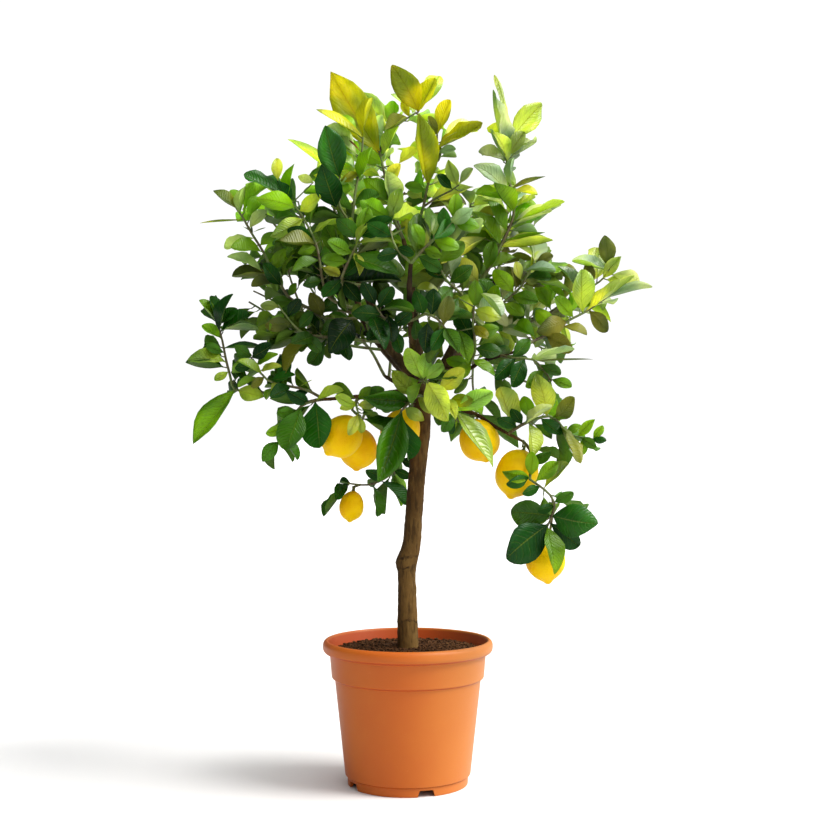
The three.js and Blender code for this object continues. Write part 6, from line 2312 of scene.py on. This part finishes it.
@dataclass
class Pot:
    """The nursery pot: a tapered shell with a collar, a rolled rim and a foot ring with notches."""

    # [radius, height, rounding], from the floor's top side round the foot and the rim to its underside
    corners: tuple[tuple[float, float, float], ...] = (
        (0, 8.5, 0), (71.5, 8.5, 1), (74.5, 0, 1), (77.5, 0, 1), (78.2, 11.2, 0.5), (77.6, 12.0, 0.3),
        (81, 12.9, 0.8), (94.4, 135.2, 1.6), (98.4, 137.6, 1.4), (101.0, 168.4, 1.6), (107.4, 169.7, 2.2),
        (110, 173.8, 3.2), (109.9, 181.6, 3.6), (106.5, 185.5, 2.6), (103.8, 185.4, 1.6), (102.6, 183.0, 1.2),
        (98.2, 166.5, 2), (91.4, 134.5, 2), (76, 11.6, 2), (0, 11.6, 0),
    )
    sides: int = 112
    notch_angles: tuple[float, ...] = (-72, 27, 108, 207)
    notch_bottom: float = 25
    notch_top: float = 18
    notch_height: float = 8.5
    notch_depth: float = 14
    notch_rounding: float = 1.1
    foot_radius: float = 77.5
    holes: int = 6
    hole_radius: float = 5
    hole_ring: float = 42
    hole_depth: float = 20
    crease: float = 38

    def build(self) -> None:
        """Builds the pot."""
        pot = Bench.turned("nursery_pot", Bench.rounded(self.corners), self.sides)
        for angle in self.notch_angles:
            self.cut(pot, self.wedge(angle))
        ring = self.hole_ring * MM
        for i in range(self.holes):
            turn = 2 * math.pi * i / self.holes
            bpy.ops.mesh.primitive_cylinder_add(
                vertices=24, radius=self.hole_radius * MM, depth=self.hole_depth * MM,
                location=(ring * math.cos(turn), ring * math.sin(turn), self.hole_depth / 2 * MM))
            self.cut(pot, Bench.named("drain_hole"))
        pot.data.transform(Matrix.Translation(Vector(AXIS)))
        Bench.alone(pot)
        bpy.ops.object.shade_smooth_by_angle(angle=math.radians(self.crease))
        pot.data.materials.append(FINISH.plastic)
        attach(pot, "root")
        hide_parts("pot")
        log.info("%s: %d faces", pot.name, len(pot.data.polygons))

    def wedge(self, angle: float) -> bpy.types.Object:
        """Makes the wedge that a drain notch takes out of the foot, wider at the ground.

        Args:
            angle: The way that the notch looks, in degrees.

        Returns:
            The wedge.
        """
        below = 4
        bpy.ops.mesh.primitive_cube_add(size=1, location=(0, 0, 0))
        wedge = Bench.named("notch")
        with Bench.editing(wedge):
            bpy.ops.transform.resize(
                value=(self.notch_bottom * MM, self.notch_depth * MM, (self.notch_height + below) * MM))
            bpy.ops.transform.translate(
                value=(0, -self.foot_radius * MM, (self.notch_height - below) / 2 * MM))
            Bench.pick(wedge, lambda co: co.z > 0)
            share = self.notch_top / self.notch_bottom
            bpy.ops.transform.resize(value=(share, 1, 1), center_override=(0, -self.foot_radius * MM, 0))
        Bench.modified(wedge, "BEVEL", width=self.notch_rounding * MM, segments=3)
        wedge.data.transform(Matrix.Rotation(math.radians(angle + 90), 4, "Z"))
        return wedge

    @staticmethod
    def cut(piece: bpy.types.Object, tool: bpy.types.Object) -> None:
        """Cuts a tool's shape out of a piece and puts the tool away."""
        Bench.modified(piece, "BOOLEAN", operation="DIFFERENCE", object=tool, solver="EXACT")
        bpy.data.objects.remove(tool)


@dataclass
class SoilBed:
    """The potting soil: a low mound with crumbs on it."""

    # [radius, height] of the soil's underside and side, against the pot
    side: tuple[tuple[float, float], ...] = (
        (0, 12.2), (72, 12.2), (90.8, 134.5), (97.4, 166.0), (97.6, 170.5))
    rings: int = 26
    sides: int = 120
    edge_radius: float = 97.6
    edge_height: float = 172
    edge_gap: float = 1.2
    crown_height: float = 176
    trunk_gap: float = 15
    crumbs: int = 1600
    crumb_forms: int = 3
    crumb_sizes: tuple[float, ...] = (0.7, 0.8, 0.9, 1.0, 1.2, 1.4, 1.8, 2.3)
    seed: int = 3

    def build(self) -> None:
        """Builds the bed and strews the crumbs."""
        profile = [*self.side]
        for k in range(self.rings + 1):
            share = 1 - k / self.rings
            height = self.surface(share * self.edge_radius)
            profile.append((share * (self.edge_radius - self.edge_gap), height))
        bed = Bench.turned("potting_soil", profile, self.sides)
        top = bed.vertex_groups.new(name="top")
        edge = self.side[-1][1] * MM
        top.add([v.index for v in bed.data.vertices if v.co.z > edge], 1.0, "REPLACE")
        Bench.roughened(bed, "soil_lumps", 0.008, 4, strength=0.0055, mid_level=0.55, vertex_group="top",
                        direction="Z")
        bed = Bench.joined([bed, *self.strewn()], "potting_soil")
        bed.data.transform(Matrix.Translation(Vector(AXIS)))
        bed.data.materials.clear()
        bed.data.materials.append(FINISH.soil)
        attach(bed, "root")
        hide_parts("soil")
        log.info("%s: %d faces", bed.name, len(bed.data.polygons))

    def surface(self, radius: float) -> float:
        """Gives the mound's height at a distance from its middle."""
        return mix(self.crown_height, self.edge_height, (radius / self.edge_radius) ** 2)

    def crumb(self, number: int) -> bpy.types.Mesh:
        """Models a crumb of soil, one unit in radius.

        Args:
            number: Which of the crumbs it is.

        Returns:
            Its mesh.
        """
        bpy.ops.mesh.primitive_ico_sphere_add(subdivisions=1, radius=1, location=(0, 0, 0))
        crumb = Bench.named(f"crumb_{number}")
        with Bench.editing(crumb):
            bpy.ops.transform.vertex_random(offset=0.35, seed=number + 1)
            bpy.ops.transform.resize(value=(1.25, 1, 0.75))
        return Bench.kept(crumb)

    def strewn(self) -> list[bpy.types.Object]:
        """Copies a few crumbs all over the bed, but not where the trunk stands.

        Returns:
            The copies.
        """
        chance = random.Random(self.seed)
        patterns = [self.crumb(k) for k in range(self.crumb_forms)]
        made = []
        for _ in range(self.crumbs):
            radius = (self.edge_radius - 3) * math.sqrt(chance.random())
            angle = chance.uniform(0, 2 * math.pi)
            if radius < self.trunk_gap:
                continue
            size = chance.choice(self.crumb_sizes)
            place = Matrix.Translation((radius * MM * math.cos(angle), radius * MM * math.sin(angle),
                                        (self.surface(radius) + size * 0.3) * MM))
            spin = Matrix.Rotation(chance.uniform(0, 6.28), 4, "Z") @ Matrix.Rotation(
                chance.uniform(-0.6, 0.6), 4, "X")
            made.append(Bench.copied(chance.choice(patterns), place @ spin @ Matrix.Scale(size * MM, 4)))
        return made


@dataclass
class Fruit:
    """The lemons, each with its nipple, its green button and the stalk that it hangs by."""

    # [share of the radius, share of half the length], from the button to the nipple
    outline: tuple[tuple[float, float], ...] = (
        (0, -0.93), (0.08, -0.94), (0.18, -0.965), (0.3, -0.93), (0.5, -0.84), (0.72, -0.68), (0.88, -0.45),
        (0.975, -0.18), (1, 0.06), (0.965, 0.28), (0.86, 0.48), (0.68, 0.655), (0.46, 0.78), (0.29, 0.85),
        (0.2, 0.905), (0.15, 0.955), (0.08, 0.99), (0, 1),
    )
    sides: int = 40
    stalk_radii: tuple[float, float] = (2.3, 1.5)
    neck: tuple[float, float] = (-1, 5)
    button_radius: float = 2.2
    button_height: float = 1.6
    button_spread: float = 2.1
    lobes: int = 5
    lobe_depth: float = 0.66

    def build(self, growth: Growth) -> None:
        """Builds every lemon as one piece.

        Args:
            growth: Where everything grows.
        """
        carriers = [stem.path for stem in growth.limbs.values()]
        carriers += [twig.path for twigs in growth.twigs for twig in twigs]
        for name, (*_, hung) in LEMONS.items():
            place = growth.lemons[name]
            fruit = self.body(name, place)
            fruit.data.materials.append(FINISH.peel)
            button = self.button(place)
            button.data.materials.append(FINISH.stem)
            neck = [place.centre - place.nose * (place.half + past) for past in self.neck]
            path = [*neck, *[seen(point) for point in hung]]
            path[-1] = rooted([path[-1]], carriers)[0]
            line = smooth_path(path, tapered(len(path), *self.stalk_radii), 5)
            stalk = rods(name + "_stalk", [line], 2)
            stalk.data.materials.append(FINISH.stem)
            lemon = Bench.joined([fruit, button, stalk], name.replace("lemon_", "ripe_"))
            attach(lemon, "root")
            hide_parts(name)
            log.info("%s: %d faces", lemon.name, len(lemon.data.polygons))

    def body(self, name: str, place: LemonPlace) -> bpy.types.Object:
        """Turns a lemon's body, its nose towards +Z, and lays it in its place.

        Args:
            name: The lemon's name.
            place: Its size and place.

        Returns:
            The body.
        """
        profile = [(out * place.radius, up * place.half) for out, up in self.outline]
        body = Bench.turned(name + "_body", profile, self.sides)
        body.data.transform(self.laid(place, place.centre))
        Bench.modified(body, "SUBSURF", levels=1, render_levels=1)
        Bench.roughened(body, "peel_lumps", 0.03, 1, strength=0.0022, mid_level=0.5)
        bpy.ops.object.shade_smooth()
        return body

    @staticmethod
    def laid(place: LemonPlace, origin: np.ndarray) -> Matrix:
        """Gives the move that lays a piece, made around the origin, along a lemon's nose."""
        turn = Vector((0, 0, 1)).rotation_difference(Vector(place.nose)).to_matrix().to_4x4()
        return Matrix.Translation(to_row(origin)) @ turn

    def button(self, place: LemonPlace) -> bpy.types.Object:
        """Makes the green button with its five lobes, where the stalk goes into the fruit.

        Args:
            place: The lemon's size and place.

        Returns:
            The button.
        """
        top = (0, 0, self.button_height * MM)
        bpy.ops.mesh.primitive_circle_add(vertices=4 * self.lobes, radius=self.button_radius * MM,
                                          location=(0, 0, 0), fill_type="NGON")
        button = Bench.named("button")
        with Bench.editing(button):
            bpy.ops.mesh.extrude_region_move(TRANSFORM_OT_translate={"value": top})
            bpy.ops.transform.resize(value=(self.button_spread, self.button_spread, 1), center_override=top)
            Bench.pick(button, lambda co: (co.z > MM
                                           and math.cos(self.lobes * math.atan2(co.y, co.x)) < -0.3))
            bpy.ops.transform.resize(value=(self.lobe_depth, self.lobe_depth, 1), center_override=top)
        Bench.modified(button, "SUBSURF", levels=1, render_levels=1)
        Bench.outwards(button, 1e-7)
        bpy.ops.object.shade_smooth()
        button.data.transform(self.laid(place, place.centre - place.nose * (place.half * 0.965 + 1.2)))
        return button


# ---------------------------------------------------------------- the studio


@dataclass(frozen=True)
class Studio:
    """The camera, the pale floor and the soft light from the right."""

    sun_height: float = 50
    sun_side: float = 76
    sun_spread: float = 34
    sun_strength: float = 4.2
    sky_range: tuple[float, float, float, float] = (0.0, 1.0, 0.18, 1.55)
    white: float = 1.06
    paper: float = 0.8
    bounce: float = 0.6
    floor_size: float = 60

    def towards_sun(self) -> Vector:
        """Finds the way that the soft light comes from.

        Returns:
            A direction.
        """
        height, side = math.radians(self.sun_height), math.radians(self.sun_side)
        flat = math.cos(height)
        return Vector((flat * math.sin(side), -flat * math.cos(side), math.sin(height)))

    def camera(self) -> None:
        """Puts the camera where the picture is taken from."""
        lens = bpy.data.cameras.new("camera")
        lens.lens = LENS
        lens.sensor_width = 36
        lens.clip_end = 100
        camera = bpy.data.objects.new("camera", lens)
        bpy.context.collection.objects.link(camera)
        camera.location = to_row((EYE_ACROSS, -EYE_DISTANCE, EYE_HEIGHT))
        camera.rotation_euler = (math.pi / 2, 0, 0)
        bpy.context.scene.camera = camera

    def light(self) -> None:
        """Lights the studio with a pale sky, brighter towards one wide soft light, and that light."""
        world = bpy.data.worlds.new("studio")
        bpy.context.scene.world = world
        world.use_nodes = True
        g = Graph(world.node_tree)
        facing = g.dot(g.made("TexCoord", out="Generated"), self.towards_sun())
        strength = g.ramp(facing, *self.sky_range)
        shown = g.made("Mix", {0: g.made("LightPath", out="Is Camera Ray"), 2: strength, 3: self.white})
        g.node("OutputWorld", {"Surface": g.made("Background", {0: (1, 1, 1, 1), 1: shown})})
        lamp = bpy.data.lights.new("soft_light", "SUN")
        lamp.energy = self.sun_strength
        lamp.angle = math.radians(self.sun_spread)
        lamp.color = (1.0, 0.98, 0.95)
        sun = bpy.data.objects.new("soft_light", lamp)
        bpy.context.collection.objects.link(sun)
        sun.rotation_euler = self.towards_sun().to_track_quat("Z", "Y").to_euler()

    def floor(self) -> None:
        """Lays the pale floor."""
        bpy.ops.mesh.primitive_plane_add(size=self.floor_size, location=(0, 0, 0))
        floor = Bench.named("floor")
        g = Finish("floor_paper")
        looked_at = g.made("LightPath", out="Is Camera Ray")
        colour = g.blend(looked_at, (*[self.bounce] * 3, 1), (*[self.paper] * 3, 1))
        floor.data.materials.append(g.surface(colour, 0.9, gloss=0.0))


FINISH = Finishes()


def main() -> None:
    """Builds the studio and the tree, and reports each piece."""
    logging.basicConfig(level=logging.INFO, format="%(message)s")
    studio = Studio()
    studio.camera()
    studio.light()
    studio.floor()
    bpy.context.scene.view_settings.view_transform = "Standard"
    growth = Growth()
    Pot().build()
    SoilBed().build()
    Wood().build(growth)
    Fruit().build(growth)
    Foliage().build(growth)


if __name__ == "__main__":
    main()
